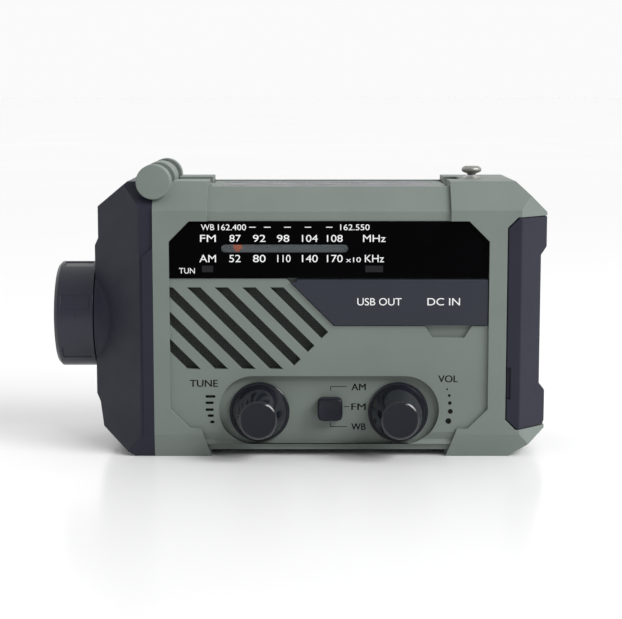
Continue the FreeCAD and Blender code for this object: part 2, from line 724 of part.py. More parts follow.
def left_end_cap():
    """Dark cap on the left-hand end, which carries the torch."""
    body = new_body("left_end_cap")
    bump = "cap_left + cap_bump"
    silhouette = polygon(("-shell_left", "0"), ("-cap_low_corner", "0"), ("-cap_foot", "foot_crease"),
                         ("-cap_left", "bump_low - cap_bump"), (f"-({bump})", "bump_low + cap_bump"),
                         (f"-({bump})", "bump_high - cap_bump"), ("-cap_left", "bump_high + cap_bump"),
                         ("-cap_left", "cap_top_drop"), ("-cap_top_corner", "body_height"),
                         ("-shell_left", "body_height"))
    prism(body, "XZ_Plane", "-half_depth", "half_depth", silhouette)
    for side in ("-", ""):
        face, lip = f"{side}half_depth", f"{side}(half_depth - slope_run)"
        slopes = (polygon((lip, "body_height"), (face, "crease_height"), (face, "body_height")),
                  polygon((lip, "0"), (face, "0"), (face, "foot_crease")))
        prism(body, "YZ_Plane", f"-({bump})", "-shell_left", *slopes, cut=True)
        upright = polygon(("-(cap_left - cap_flat)", face),
                          (f"-({bump})", f"{side}(half_depth - cap_flat - cap_bump)"), (f"-({bump})", face))
        prism(body, "XY_Plane", "0", "body_height", upright, cut=True)
    rib = "-(shell_left + rib_wide)"
    beside_rib = polygon((f"-({bump})", "0"), (rib, "0"), (rib, "rib_high"), ("-shell_left", "rib_high + rib_rise"),
                         ("-shell_left", "body_height"), (f"-({bump})", "body_height"))
    prism(body, "XZ_Plane", "-half_depth", "-(half_depth - rib_proud)", beside_rib, cut=True)
    collar = circle("0", "torch_up", "torch_radius")
    prism(body, "YZ_Plane", f"-({bump})", "-(cap_left - cap_flat)", collar)
    inner, reach = "half_depth - panel_step - wall", "cap_left - wall"
    room = polygon(("-shell_left", f"-({inner})"), (f"-({reach} - cap_flat)", f"-({inner})"),
                   (f"-({reach})", f"-({inner} - cap_flat)"), (f"-({reach})", f"{inner} - cap_flat"),
                   (f"-({reach} - cap_flat)", inner), ("-shell_left", inner))
    prism(body, "XY_Plane", "foot_crease + wall", "crease_height - wall", room, cut=True)
    socket = circle("0", "torch_up", "spigot_radius + screw_fit")
    prism(body, "YZ_Plane", f"-({bump})", "-(torch_back - spigot_length - clear_gap)", socket, cut=True)
    prism(body, "XZ_Plane", "-half_depth", "half_depth",
          circle("-hinge_across", "body_height", "barrel_radius + clear_gap"), cut=True)
    return body


# ---------------------------------------------------------------- torch

def torch_parts():
    """Torch head, lens, reflector and light board, turned about the torch's axis."""
    start = ("-torch_front", "0", "torch_up")
    head = new_body("torch_head", *start)
    back = "torch_front - torch_back"
    seat = "torch_lip + clear_gap"
    turned(head, "XY_Plane", "H_Axis", ("0", "torch_lip_radius"), ("0", "torch_radius - torch_edge"),
           ("torch_edge", "torch_radius"), (back, "torch_radius"), (back, "spigot_radius"),
           (f"{back} + spigot_length", "spigot_radius"), (f"{back} + spigot_length", "spigot_radius - wall"),
           (f"{back} - wall", "spigot_radius - wall"), (f"{back} - wall", "torch_radius - torch_wall"),
           ("torch_lip", "torch_radius - torch_wall"), ("torch_lip", "torch_lip_radius"))
    flat = prism(head, "YZ_Plane", "2 * torch_edge", f"{back} - torch_edge",
                 rectangle("-torch_flat_wide / 2", "torch_radius - torch_flat_deep", "torch_flat_wide / 2",
                           "torch_radius + torch_flat_deep"), cut=True)
    repeat_round(head, [flat], "X_Axis", "torch_flat_count")
    head.Placement = FreeCAD.Placement(head.Placement.Base, FreeCAD.Rotation(Vector(1, 0, 0), 1))
    head.setExpression("Placement.Rotation.Angle", ref("torch_turn"))

    lens = new_body("torch_lens", *start)
    rim = "torch_radius - torch_wall - screw_fit"
    turned(lens, "XY_Plane", "H_Axis", ("torch_lip", "0"), ("torch_lip", rim),
           ("torch_lip + lens_thick", rim), ("torch_lip + lens_thick", "0"))

    cone = new_body("torch_reflector", *start)
    mouth = f"{seat} + lens_thick"
    middle = f"{mouth} + reflector_length / 2"
    bulge = f"sqrt((({rim})^2 + reflector_throat^2) / 2)"
    turned(cone, "XY_Plane", "H_Axis", (mouth, rim), (mouth, f"{rim} - reflector_wall"),
           (middle, f"{bulge} - reflector_wall"), (f"{mouth} + reflector_length", "reflector_throat"),
           (f"{mouth} + reflector_length", "reflector_throat + reflector_wall"), (middle, bulge))

    board = new_body("torch_led_board", *start)
    face = f"{mouth} + reflector_length"
    led = f"{face} - reflector_throat"
    edge = "spigot_radius - wall - screw_fit"
    turned(board, "XY_Plane", "H_Axis", (led, "0"), (led, "reflector_throat / 2"), (face, "reflector_throat / 2"),
           (face, edge), (f"{face} + led_board_thick", edge), (f"{face} + led_board_thick", "0"))
    return head, lens, cone, board


# ---------------------------------------------------------------- dial

def dial_window_parts():
    """Black window with a slot for the tuning scale and two indicator windows, and the clear lens behind the slot."""
    body = new_body("dial_window")
    gap = "window_gap"
    outline = polygon((f"-(panel_half - {gap})", f"window_bottom + {gap}"),
                      (f"panel_half - {gap}", f"window_bottom + {gap}"), *window_shoulders(gap))
    prism(body, "XZ_Plane", f"-({WINDOW_SEAT} + window_thick)", f"-{WINDOW_SEAT}", outline)
    prism(body, "XZ_Plane", f"-({WINDOW_SEAT} + window_thick)", f"-{WINDOW_SEAT}", *indicator_outlines("0"), cut=True)
    scale = slot("-scale_left + scale_high / 2", "scale_right - scale_high / 2", "scale_mid", "scale_high / 2")
    prism(body, "XZ_Plane", f"-({WINDOW_SEAT} + window_thick)", f"-{WINDOW_SEAT}", scale, cut=True)
    lens = new_body("scale_lens")
    prism(lens, "XZ_Plane", f"-{WINDOW_SEAT}", f"-({WINDOW_SEAT} - scale_lens_thick)", scale_opening("window_gap"))


def indicator_outlines(gap):
    """The tuning lamp and the power lamp, seen from the front."""
    low, high = f"indicator_low + {gap}", f"indicator_low + indicator_high - {gap}"
    return (rectangle(f"-lamp_window_left + {gap}", low, f"-lamp_window_left + lamp_window_wide - {gap}", high),
            rectangle(f"power_window_left + {gap}", low, f"power_window_left + power_window_wide - {gap}", high))


def indicator_lights():
    """Two light pipes that fill their windows."""
    body = new_body("indicator_lights")
    prism(body, "XZ_Plane", f"-({WINDOW_SEAT} + window_thick)", f"-{WINDOW_SEAT}", *indicator_outlines("screw_fit"))
    return body


def dial_rail():
    """Steel rail that the pointer runs along, held by the screw posts' shelf at its ends."""
    body = new_body("dial_rail")
    prism(body, "YZ_Plane", "-rail_half", "rail_half", circle("-rail_back", RAIL_UP, "rail_radius"))
    feet = [rectangle(f"{sign}rail_half - rail_radius", f"{RAIL_UP} - rail_radius",
                      f"{sign}rail_half + rail_radius", CAVITY_HIGH) for sign in ("-", "")]
    prism(body, "XZ_Plane", f"-{CAVITY_FRONT}", "-(rail_back - 2 * rail_radius)", *feet)
    return body


def dial_pointer():
    """Pointer blade behind the scale slot, on a slide that rides the rail."""
    body = new_body("dial_pointer", "-pointer_rest")
    blade = rectangle("-pointer_wide / 2", "scale_mid - scale_high / 2 + clear_gap / 2",
                      "pointer_wide / 2", "scale_mid + scale_high / 2 - clear_gap / 2")
    front = f"({WINDOW_SEAT} - scale_lens_thick - clear_gap)"
    prism(body, "XZ_Plane", f"-{front}", "-(rail_back + rail_radius)", blade)
    riser = rectangle("-pointer_wide", "scale_mid - pointer_wide / 2", "pointer_wide", f"{RAIL_UP} + 2 * rail_radius")
    prism(body, "XZ_Plane", "-(rail_back + 2 * rail_radius)", "-(rail_back - 2 * rail_radius)", riser)
    prism(body, "YZ_Plane", "-2 * pointer_wide", "2 * pointer_wide",
          circle("-rail_back", RAIL_UP, "rail_radius + running_gap"), cut=True)
    return body


# ---------------------------------------------------------------- speaker

def speaker_parts():
    """Speaker basket, magnet, cone and the mesh behind the grille."""
    start = ("-speaker_across", "0", "speaker_up")
    front = f"-({CAVITY_FRONT} - mesh_thick)"
    mesh = new_body("speaker_mesh")
    prism(mesh, "XZ_Plane", f"-{CAVITY_FRONT}", front,
          rectangle("-(panel_half + wall / 2)", "grille_bottom - wall / 2", "0", "grille_top + wall / 2"))
    basket = new_body("speaker_basket", *start)
    back = f"{front} + speaker_depth"
    shoulder = f"{front} + basket_step"
    turned(basket, "XY_Plane", "V_Axis", ("speaker_radius - wall", front), ("speaker_radius", front),
           ("speaker_radius", f"{front} + wall / 2"), ("speaker_radius - wall / 2", f"{front} + wall / 2"),
           ("speaker_radius - wall / 2", shoulder), ("magnet_radius + wall / 2", shoulder),
           ("magnet_radius + wall / 2", back), ("magnet_radius - wall", back),
           ("magnet_radius - wall", f"{back} - wall / 2"), ("magnet_radius", f"{back} - wall / 2"),
           ("magnet_radius", f"{shoulder} - wall / 2"), ("speaker_radius - wall", f"{shoulder} - wall / 2"))
    magnet = new_body("speaker_magnet", *start)
    prism(magnet, "XZ_Plane", back, f"{back} + magnet_depth", circle("0", "0", "magnet_radius"))
    cone = new_body("speaker_cone", *start)
    edge = "speaker_radius - wall - clear_gap"
    turned(cone, "XY_Plane", "V_Axis", ("0", f"{front} + 1.5 * wall"), ("magnet_radius / 2", f"{front} + 1.5 * wall"),
           (edge, front), (edge, f"{front} + mesh_thick"),
           ("magnet_radius / 2", f"{front} + 2 * wall"), ("0", f"{front} + 2 * wall"))
    return mesh, basket, magnet, cone


# ---------------------------------------------------------------- controls

def control_knob(label, across):
    """Tapered knob with a thin skirt, bored for its shaft."""
    body = new_body(label, across, f"-({RECESS_FLOOR} + clear_gap)", "knob_up")
    tip = "-knob_length"
    turned(body, "XY_Plane", "V_Axis", ("0", "0"), ("knob_base_radius", "0"), ("knob_base_radius", "-knob_skirt"),
           ("knob_base_radius - knob_skirt / 2", "-knob_skirt"),
           ("knob_face_radius + knob_skirt / 2", f"{tip} + knob_skirt"), ("knob_face_radius", tip), ("0", tip))
    prism(body, "XZ_Plane", "-knob_length / 2", "0", circle("0", "0", "shaft_radius + screw_fit"), cut=True)
    return body


def control_shaft(label, across, drum):
    """Steel shaft from the potentiometer into the knob; the tuning shaft also carries the cord drum."""
    body = new_body(label, across, "0", "knob_up")
    prism(body, "XZ_Plane", f"-({RECESS_FLOOR} + clear_gap + knob_length / 2 - clear_gap)",
          "-(board_front + clear_gap)", circle("0", "0", "shaft_radius"))
    if drum:
        prism(body, "XZ_Plane", "-(drum_front + drum_wide)", "-drum_front", circle("0", "0", "drum_radius"))
        middle = "-(drum_front + drum_wide / 2)"
        turned(body, "XY_Plane", "V_Axis", ("drum_radius - drum_wide / 3", middle),
               ("drum_radius", f"{middle} + drum_wide / 3"), ("drum_radius", f"{middle} - drum_wide / 3"), cut=True)
    return body


def control_pot(label, across):
    """Potentiometer can on the circuit board, with the bore that its shaft turns in."""
    body = new_body(label, across, "0", "knob_up")
    prism(body, "XZ_Plane", "-(board_front + pot_deep)", "-board_front", circle("0", "0", "pot_radius"))
    prism(body, "XZ_Plane", "-(board_front + pot_deep)", "-(board_front + clear_gap)",
          circle("0", "0", "shaft_radius + running_gap"), cut=True)
    return body


def band_slider():
    """Three-position slide button with a dished face and a stem through the recess floor."""
    body = new_body("band_slider", "slider_across", "0", "slider_up")
    seat = f"({RECESS_FLOOR} + clear_gap)"
    prism(body, "XZ_Plane", f"-({seat} + slider_deep)", f"-{seat}",
          rectangle("-slider_wide / 2", "-slider_high / 2", "slider_wide / 2", "slider_high / 2"))
    soften(body, "slider_corner", lambda edge: runs_along(edge, Vector(0, 1, 0)))
    face = f"-({seat} + slider_deep"
    turned(body, "XY_Plane", "V_Axis", ("0", f"{face})"), ("slider_dish_radius", f"{face})"),
           ("slider_dish_radius * 0.6", f"{face} - slider_dish_deep * 0.7)"), ("0", f"{face} - slider_dish_deep)"),
           cut=True)
    prism(body, "XZ_Plane", f"-{seat}", "-(board_front + 2 * pot_deep)",
          rectangle("-slider_stem / 2", "-slider_stem / 2", "slider_stem / 2", "slider_stem / 2"))
    return body


def band_switch():
    """Body of the slide switch on the circuit board, slotted for the slider's stem."""
    body = new_body("band_switch", "slider_across", "0", "slider_up")
    front = "(board_front + 2 * pot_deep + wall)"
    half, high = "switch_body_wide / 2", "switch_body_high / 2"
    prism(body, "XZ_Plane", f"-{front}", "-board_front", rectangle(f"-{half}", f"-{high}", half, high))
    play = "slider_stem / 2 + clear_gap"
    prism(body, "XZ_Plane", f"-{front}", "-(board_front + 2 * pot_deep - clear_gap)",
          rectangle(f"-({play})", f"-({play} + slider_travel)", play, f"{play} + slider_travel"), cut=True)
    return body


def push_button(label, across):
    """Round push button with a retaining flange inside the back wall."""
    body = new_body(label, across, "0", "button_up")
    prism(body, "XZ_Plane", f"{CAVITY_FRONT} - clear_gap", BACK_END, circle("0", "0", "button_radius"))
    prism(body, "XZ_Plane", f"{CAVITY_FRONT} - clear_gap - wall / 2", f"{CAVITY_FRONT} - clear_gap",
          circle("0", "0", "button_flange"))
    return body


def button_switches():
    """Two small boards with a tactile switch each, hung from the tray above the buttons' flanges."""
    body = new_body("button_switches")
    top = f"{CAVITY_FRONT} - clear_gap - wall / 2 - button_travel - clear_gap"
    for sign in ("-", ""):
        middle = f"{sign}button_across"
        prism(body, "XZ_Plane", f"{top} - spring_height", top,
              rectangle(f"{middle} - switch_can / 2", "button_up - switch_can / 2", f"{middle} + switch_can / 2",
                        "button_up + switch_can / 2"))
        prism(body, "XZ_Plane", f"{top} - spring_height - board_thick", f"{top} - spring_height",
              rectangle(f"{middle} - button_flange", "button_up - button_flange", f"{middle} + button_flange",
                        CAVITY_HIGH))
    return body


# ---------------------------------------------------------------- connectors

def connector_socket(label, name):
    """Open-mouthed metal socket that passes through the floor of the connector bay."""
    body = new_body(label, f"{name}_across", "0", "socket_up")
    half, high = f"{name}_wide / 2", f"{name}_high / 2"
    mouth = f"({PANEL_FRONT} - port_depth + wall)"
    prism(body, "XZ_Plane", f"-{mouth}", "-board_front", rectangle(f"-{half}", f"-{high}", half, high))
    inside = rectangle(f"-({half} - socket_wall)", f"-({high} - socket_wall)", f"{half} - socket_wall",
                       f"{high} - socket_wall")
    prism(body, "XZ_Plane", f"-{mouth}", "-(board_front + pot_deep)", inside, cut=True)
    tongue = rectangle(f"-({half} - 3 * socket_wall)", "-socket_wall / 2", f"{half} - 3 * socket_wall", "socket_wall / 2")
    prism(body, "XZ_Plane", f"-({mouth} - wall)", "-(board_front + pot_deep)", tongue)
    return body


def port_cover():
    """Dark cover over the connectors, rolled along its top edge where it hinges.

    Its acute upper corner is thinned behind, so that it swings clear of the slanting edge.
    """
    body = new_body("port_cover")
    axis_up = "(window_bottom - roll_radius - clear_gap / 3)"
    front = f"({COVER_SEAT} + clear_gap / 2 + cover_thick)"
    back = f"({COVER_SEAT} + clear_gap / 2)"
    gap = "cover_gap"
    corner = f"(cover_diagonal - {axis_up} + {gap} * sqrt(2))"
    outline = polygon((corner, axis_up),
                      (f"cover_diagonal - cover_bottom + {gap} * (sqrt(2) - 1)", f"cover_bottom + {gap}"),
                      (f"panel_half - {gap}", f"cover_bottom + {gap}"), (f"panel_half - {gap}", axis_up))
    prism(body, "XZ_Plane", f"-{front}", f"-{back}", outline)
    relief = rectangle(corner, f"{axis_up} - 2 * roll_radius", f"{corner} + 2 * roll_radius", axis_up)
    prism(body, "XZ_Plane", f"-({front} - roll_radius)", f"-{back}", relief, cut=True)
    roll = circle(f"-({front} - roll_radius)", axis_up, "roll_radius")
    prism(body, "YZ_Plane", f"{corner} + 2 * roll_radius", f"panel_half - {gap}", roll)
    return body


# ---------------------------------------------------------------- boards and cells

def main_board():
    """Circuit board across the housing, cleared round the lower screw posts."""
    body = new_body("main_board")
    prism(body, "XZ_Plane", "-board_front", "-(board_front - board_thick)",
          rectangle("-board_half", "board_low", "board_half", "board_high"))
    notches = [circle(across, up, "post_radius + clear_gap") for across, up in screw_places()[2:]]
    prism(body, "XZ_Plane", "-board_front", "-(board_front - board_thick)", *notches, cut=True)
    chips = [rectangle(f"{place_across} - switch_can", f"{place_up} - switch_can", f"{place_across} + switch_can",
                       f"{place_up} + switch_can / 2")
             for place_across, place_up in (("port_left", "recess_mid + 2 * recess_radius"),
                                            ("knob_across + switch_can * 2", "recess_mid + recess_radius"))]
    prism(body, "XZ_Plane", "-(board_front + board_thick)", "-board_front", *chips)
    return body


def battery_parts():
    """Rechargeable cell across the middle, the spare cells, their contacts and their cover."""
    rod("battery_cell", Vector(1, 0, 0), "-cell_half", "-cell_front", f"{CAVITY_HIGH} - cell_radius - clear_gap",
        "cell_radius", "2 * cell_half")

    spares = new_body("spare_cells")
    low = "spare_up - spare_length / 2"
    rows = ("-spare_pitch", "0", "spare_pitch")
    prism(spares, "XY_Plane", low, f"{low} + spare_length",
          *[circle("spare_across", row, "spare_radius") for row in rows])
    prism(spares, "XY_Plane", f"{low} + spare_length", f"{low} + spare_length + contact_thick * 2",
          *[circle("spare_across", row, "spare_radius / 3") for row in rows])

    contacts = new_body("battery_contacts")
    half = "spare_radius - clear_gap"
    plates = [rectangle(f"spare_across - ({half})", f"{row} - ({half})", f"spare_across + {half}", f"{row} + {half}")
              for row in rows]
    prism(contacts, "XY_Plane", "bay_low", "bay_low + contact_thick", *plates)
    prism(contacts, "XY_Plane", "bay_low + contact_thick", f"{low} - clear_gap",
          *[circle("spare_across", row, "spare_radius / 2") for row in rows])
    prism(contacts, "XY_Plane", f"{low} + spare_length + contact_thick * 2 + clear_gap", "bay_high", *plates)
    return spares, contacts


def battery_cover():
    """Dark cover round the right-hand end, which pulls off to the right."""
    body = new_body("battery_cover")
    gap = "cover_gap"
    low, high = f"bay_low + {gap}", f"bay_high - {gap}"
    left, right = f"cover_left + {gap}", "shell_right"
    silhouette = polygon((left, f"{low} + bay_corner"), (f"{left} + bay_corner", low),
                         (f"{right} - grip_slope / 2", low), (right, f"{low} + grip_slope"),
                         (right, "grip_low - grip_slope"), (f"{right} - grip_recess", "grip_low + grip_slope"),
                         (f"{right} - grip_recess", "grip_high - grip_slope"), (right, "grip_high + grip_slope"),
                         (right, high), (f"{left} + bay_corner", high), (left, f"{high} - bay_corner"))
    prism(body, "XZ_Plane", "-half_depth", "half_depth", silhouette)
    for side in ("-", ""):
        upright = polygon(("shell_right - corner_flat", f"{side}half_depth"), ("shell_right", f"{side}half_depth"),
                          ("shell_right", f"{side}(half_depth - corner_flat)"))
        prism(body, "XY_Plane", low, high, upright, cut=True)
    nail = rectangle(left, "nail_low", f"{left} + nail_wide", "nail_high")
    prism(body, "XZ_Plane", "-half_depth", "-(half_depth - nail_deep)", nail, cut=True)
    inner, reach = "half_depth - wall", f"{right} - grip_recess - wall"
    flat = "corner_flat - grip_recess / 2"
    room = polygon((left, f"-({inner})"), (f"{reach} - {flat}", f"-({inner})"), (reach, f"-({inner} - {flat})"),
                   (reach, f"{inner} - {flat}"), (f"{reach} - {flat}", inner), (left, inner))
    prism(body, "XY_Plane", low, high, room, cut=True)
    return body


# ---------------------------------------------------------------- crank and generator

def spur_gear(body, teeth, module, start, end, across="0", up="0"):
    """Spur gear made of its root disc and one tooth, repeated round the body's Y axis."""
    tip = f"({module} * ({teeth} / 2 + {TOOTH_HEAD}))"
    root = f"({module} * ({teeth} / 2 - {TOOTH_FOOT}))"
    foot = f"({root} - {module} * {TOOTH_TIP_HALF})"
    prism(body, "XZ_Plane", start, end, circle(across, up, root))
    tooth = prism(body, "XZ_Plane", start, end,
                  polygon((f"-{module} * {TOOTH_FOOT_HALF}", foot), (f"{module} * {TOOTH_FOOT_HALF}", foot),
                          (f"{module} * {TOOTH_TIP_HALF}", tip), (f"-{module} * {TOOTH_TIP_HALF}", tip)))
    repeat_round(body, [tooth], "Y_Axis", teeth)


def turn_tooth(body, direction, gap_teeth=""):
    """Turn a gear so that a tooth points in the direction, or a gap if the tooth count is given."""
    half_pitch = f"180 / {gap_teeth}" if gap_teeth else "0"
    body.Placement = FreeCAD.Placement(body.Placement.Base, FreeCAD.Rotation(Vector(0, 1, 0), 1))
    body.setExpression("Placement.Rotation.Angle", ref(f"90 + {half_pitch} - ({direction})"))


def gear_place(angle, distance):
    """Expressions for a point at an angle and distance, seen from the front."""
    return f"({distance}) * cos({angle} * 1deg)", f"({distance}) * sin({angle} * 1deg)"


def generator_parts():
    """Gear train from the crank shaft to the generator's rotor."""
    first_distance = "gear_module * (gear_teeth + pinion_teeth) / 2"
    second_distance = "rotor_module * (rotor_wheel_teeth + rotor_teeth) / 2"
    idler_x, idler_z = gear_place("idler_angle", first_distance)
    rotor_step_x, rotor_step_z = gear_place("rotor_angle", second_distance)
    idler = (idler_x, "0", f"well_up + {idler_z}")
    rotor = (f"{idler_x} + {rotor_step_x}", "0", f"well_up + {idler_z} + {rotor_step_z}")
    front_gear = "gear_back - gear_wide - gear_layer"

    drive = new_body("drive_gear", "0", "0", "well_up")
    spur_gear(drive, "gear_teeth", "gear_module", "gear_back - gear_wide", "gear_back")
    turn_tooth(drive, "idler_angle")
    prism(drive, "XZ_Plane", "gear_back - gear_wide", "gear_back", circle("0", "0", "crank_shaft_radius"), cut=True)

    shaft = new_body("crank_shaft", "0", "0", "well_up")
    prism(shaft, "XZ_Plane", "plate_back - plate_thick", f"{WELL_FLOOR} + clear_gap + crank_thick",
          circle("0", "0", "crank_shaft_radius"))

    small = new_body("idler_pinion", *idler)
    spur_gear(small, "pinion_teeth", "gear_module", "gear_back - gear_wide - clear_gap", "gear_back")
    turn_tooth(small, "idler_angle + 180", "pinion_teeth")
    wheel = new_body("idler_wheel", *idler)
    spur_gear(wheel, "rotor_wheel_teeth", "rotor_module", front_gear, "gear_back - gear_wide - clear_gap")
    turn_tooth(wheel, "rotor_angle")
    for item in (small, wheel):
        prism(item, "XZ_Plane", front_gear, "gear_back", circle("0", "0", "arbor_radius + running_gap"), cut=True)
    rod("idler_arbor", Vector(0, 1, 0), idler_x, "plate_back - plate_thick", idler[2], "arbor_radius",
        f"{WELL_FLOOR} - wall - plate_back + plate_thick")

    pinion = new_body("rotor_pinion", *rotor)
    spur_gear(pinion, "rotor_teeth", "rotor_module", front_gear, "gear_back - gear_wide - clear_gap")
    turn_tooth(pinion, "rotor_angle + 180", "rotor_teeth")
    prism(pinion, "XZ_Plane", "plate_back - plate_thick - generator_deep / 3", front_gear, circle("0", "0", "arbor_radius"))

    plate = new_body("gearbox_plate")
    hub = "crank_shaft_radius + running_gap"
    prism(plate, "XZ_Plane", "plate_back - plate_thick", "plate_back",
          rectangle(f"{rotor[0]} - generator_radius", f"{idler[2]} - arbor_radius * 6", "crank_hub_radius * 2",
                    "well_up + crank_hub_radius * 2"))
    prism(plate, "XZ_Plane", "plate_back - plate_thick", "plate_back", circle("0", "well_up", hub),
          circle(idler_x, idler[2], "arbor_radius + screw_fit"),
          circle(rotor[0], rotor[2], "arbor_radius + running_gap"), cut=True)

    case = new_body("generator_case", *rotor)
    back = "plate_back - plate_thick"
    prism(case, "XZ_Plane", f"{back} - generator_deep", back, circle("0", "0", "generator_radius"))
    prism(case, "XZ_Plane", f"{back} - generator_deep / 3 - clear_gap", back,
          circle("0", "0", "arbor_radius + running_gap"), cut=True)


def crank_parts():
    """Crank arm in its well, with the fold-out grip on a cross pin."""
    floor = f"({WELL_FLOOR} + clear_gap)"
    top = f"({floor} + crank_thick)"
    arm = new_body("crank_arm", "0", "0", "well_up")
    prism(arm, "XZ_Plane", floor, top, circle("0", "0", "crank_hub_radius"))
    prism(arm, "XZ_Plane", floor, top, circle("crank_radius", "0", "crank_end_radius"))
    prism(arm, "XZ_Plane", floor, top,
          polygon(("0", "-crank_end_radius"), ("crank_radius", "-crank_end_radius"),
                  ("crank_radius", "crank_end_radius"), ("0", "crank_end_radius")))
    prism(arm, "XZ_Plane", floor, top, circle("0", "0", "crank_shaft_radius"), cut=True)
    ear_low, ear_high = "grip_radius + clear_gap", "grip_radius + clear_gap + ear_thick"
    ears = [rectangle("crank_radius - grip_radius", low, "crank_radius + grip_radius", high)
            for low, high in ((ear_low, ear_high), (f"-({ear_high})", f"-({ear_low})"))]
    prism(arm, "XZ_Plane", top, "grip_axis + grip_radius", *ears)
    prism(arm, "XY_Plane", f"-({ear_high})", ear_high, circle("crank_radius", "grip_axis", "pin_radius"), cut=True)

    rod("grip_pin", Vector(0, 0, 1), "crank_radius", "grip_axis", f"well_up - ({ear_high})", "pin_radius",
        f"2 * ({ear_high})")

    stem = new_body("grip_stem", "crank_radius", "grip_axis", "well_up")
    prism(stem, "XY_Plane", "-grip_radius", "grip_radius", circle("0", "0", "grip_radius"))
    prism(stem, "YZ_Plane", "-(grip_radius + grip_length + clear_gap)", "0", circle("0", "0", "stem_radius"))
    prism(stem, "YZ_Plane", "-(grip_radius + grip_length + clear_gap + wall / 2)", "-(grip_radius + grip_length + clear_gap)",
          circle("0", "0", "grip_radius - clear_gap"))
    prism(stem, "XY_Plane", "-grip_radius", "grip_radius", circle("0", "0", "pin_radius + running_gap"), cut=True)

    grip = new_body("crank_grip", "crank_radius", "grip_axis", "well_up")
    start = "-(grip_radius + clear_gap / 2 + grip_length)"
    end = "-(grip_radius + clear_gap / 2)"
    prism(grip, "YZ_Plane", start, end, circle("0", "0", "grip_radius"))
    prism(grip, "YZ_Plane", start, end, circle("0", "0", "stem_radius + running_gap"), cut=True)


# ---------------------------------------------------------------- antenna

def antenna_parts():
    """Telescopic antenna: a fixed tube, nested sections and the button on the innermost one."""
    count = int(val("antenna_section_count"))
    length = "(body_height - antenna_low)"
    start = ("antenna_across", "0", "antenna_low")
    tube = new_body("antenna_tube", *start)
    prism(tube, "XY_Plane", "0", length, circle("0", "0", "antenna_radius"))
    prism(tube, "XY_Plane", "antenna_wall", length, circle("0", "0", "antenna_radius - antenna_wall"), cut=True)
    for number in range(1, count + 1):
        outer = f"(antenna_radius - {number} * antenna_step)"
        section = new_body(f"antenna_section_{number}", *start)
        low = f"({number} * antenna_wall)"
        high = f"({length} + {number} * antenna_lift / antenna_section_count)"
        prism(section, "XY_Plane", low, high, circle("0", "0", outer))
        if number < count:
            prism(section, "XY_Plane", f"{low} + antenna_wall", high, circle("0", "0", f"{outer} - antenna_wall"), cut=True)
    tip = new_body("antenna_tip", "antenna_across", "0", "body_height + antenna_lift")
    neck = "antenna_radius - antenna_section_count * antenna_step"
    turned(tip, "XZ_Plane", "V_Axis", ("0", "0"), (neck, "0"), (neck, "antenna_tip_neck"),
           ("antenna_tip_radius", "antenna_tip_neck"), ("antenna_tip_radius", "antenna_tip_high - antenna_tip_dome"),
           ("antenna_tip_radius - antenna_tip_dome", "antenna_tip_high"), ("0", "antenna_tip_high"))


# ---------------------------------------------------------------- lamp flap

def lamp_flap_parts():
    """Flap with the solar panel above and the reading lamp below, hinged at the left."""
    flap = new_body("lamp_flap")
    low, top = "flap_top - flap_thick", "flap_top"
    side, depth = "bridge_half - flap_gap", "flap_half_depth"
    prism(flap, "XY_Plane", low, top, rectangle(f"-({side})", f"-{depth}", side, depth))
    arm_low = "arm_floor + wall"
    near = "-(hinge_across - barrel_radius)"
    arm = polygon(("-hinge_across", "body_height"), ("-hinge_across", "body_height - barrel_radius + clear_gap"),
                  (near, arm_low), (f"-({side})", arm_low), (f"-({side})", top), (near, top))
    prism(flap, "XZ_Plane", "-knuckle_half", "knuckle_half", arm)
    prism(flap, "XZ_Plane", "-knuckle_half", "knuckle_half", circle("-hinge_across", "body_height", "barrel_radius"))
    prism(flap, "XZ_Plane", "-knuckle_half", "knuckle_half",
          circle("-hinge_across", "body_height", "hinge_pin_radius + running_gap"), cut=True)
    panel = rectangle("-solar_half_long", "-solar_half_deep", "solar_half_long", "solar_half_deep")
    prism(flap, "XY_Plane", f"{top} - solar_thick", top, panel, cut=True)
    lamp = rectangle("-diffuser_half_long", "-diffuser_half_deep", "diffuser_half_long", "diffuser_half_deep")
    board_top = f"{low} + 2 * diffuser_thick + lamp_board_thick"
    prism(flap, "XY_Plane", low, board_top, lamp, cut=True)

    solar = new_body("solar_panel")
    prism(solar, "XY_Plane", f"{top} - solar_thick", top,
          rectangle("-(solar_half_long - screw_fit)", "-(solar_half_deep - screw_fit)",
                    "solar_half_long - screw_fit", "solar_half_deep - screw_fit"))
    snug = rectangle("-(diffuser_half_long - screw_fit)", "-(diffuser_half_deep - screw_fit)",
                     "diffuser_half_long - screw_fit", "diffuser_half_deep - screw_fit")
    diffuser = new_body("lamp_diffuser")
    prism(diffuser, "XY_Plane", low, f"{low} + diffuser_thick", snug)
    board = new_body("lamp_board")
    prism(board, "XY_Plane", f"{board_top} - lamp_board_thick", board_top, snug)
    rod("hinge_pin", Vector(0, 1, 0), "-hinge_across", "-pin_half", "body_height", "hinge_pin_radius", "2 * pin_half")


# ---------------------------------------------------------------- the whole radio

def build():
    """Build every sub-part in the document."""
    front_shell()
    rear_shell()
    left_end_cap()
    housing_screws()
    torch_parts()
    dial_window_parts()
    indicator_lights()
    dial_rail()
    dial_pointer()
    speaker_parts()
    for name, across in (("tune", "-knob_across"), ("volume", "knob_across")):
        control_knob(f"{name}_knob", across)
        control_shaft(f"{name}_shaft", across, drum=name == "tune")
        control_pot(f"{name}_pot", across)
    band_slider()
    band_switch()
    push_button("torch_button", "-button_across")
    push_button("sos_button", "button_across")
    button_switches()
    connector_socket("usb_socket", "usb")
    connector_socket("dc_socket", "dc")
    port_cover()
    main_board()
    battery_parts()
    battery_cover()
    generator_parts()
    crank_parts()
    antenna_parts()
    lamp_flap_parts()
    doc.recompute()


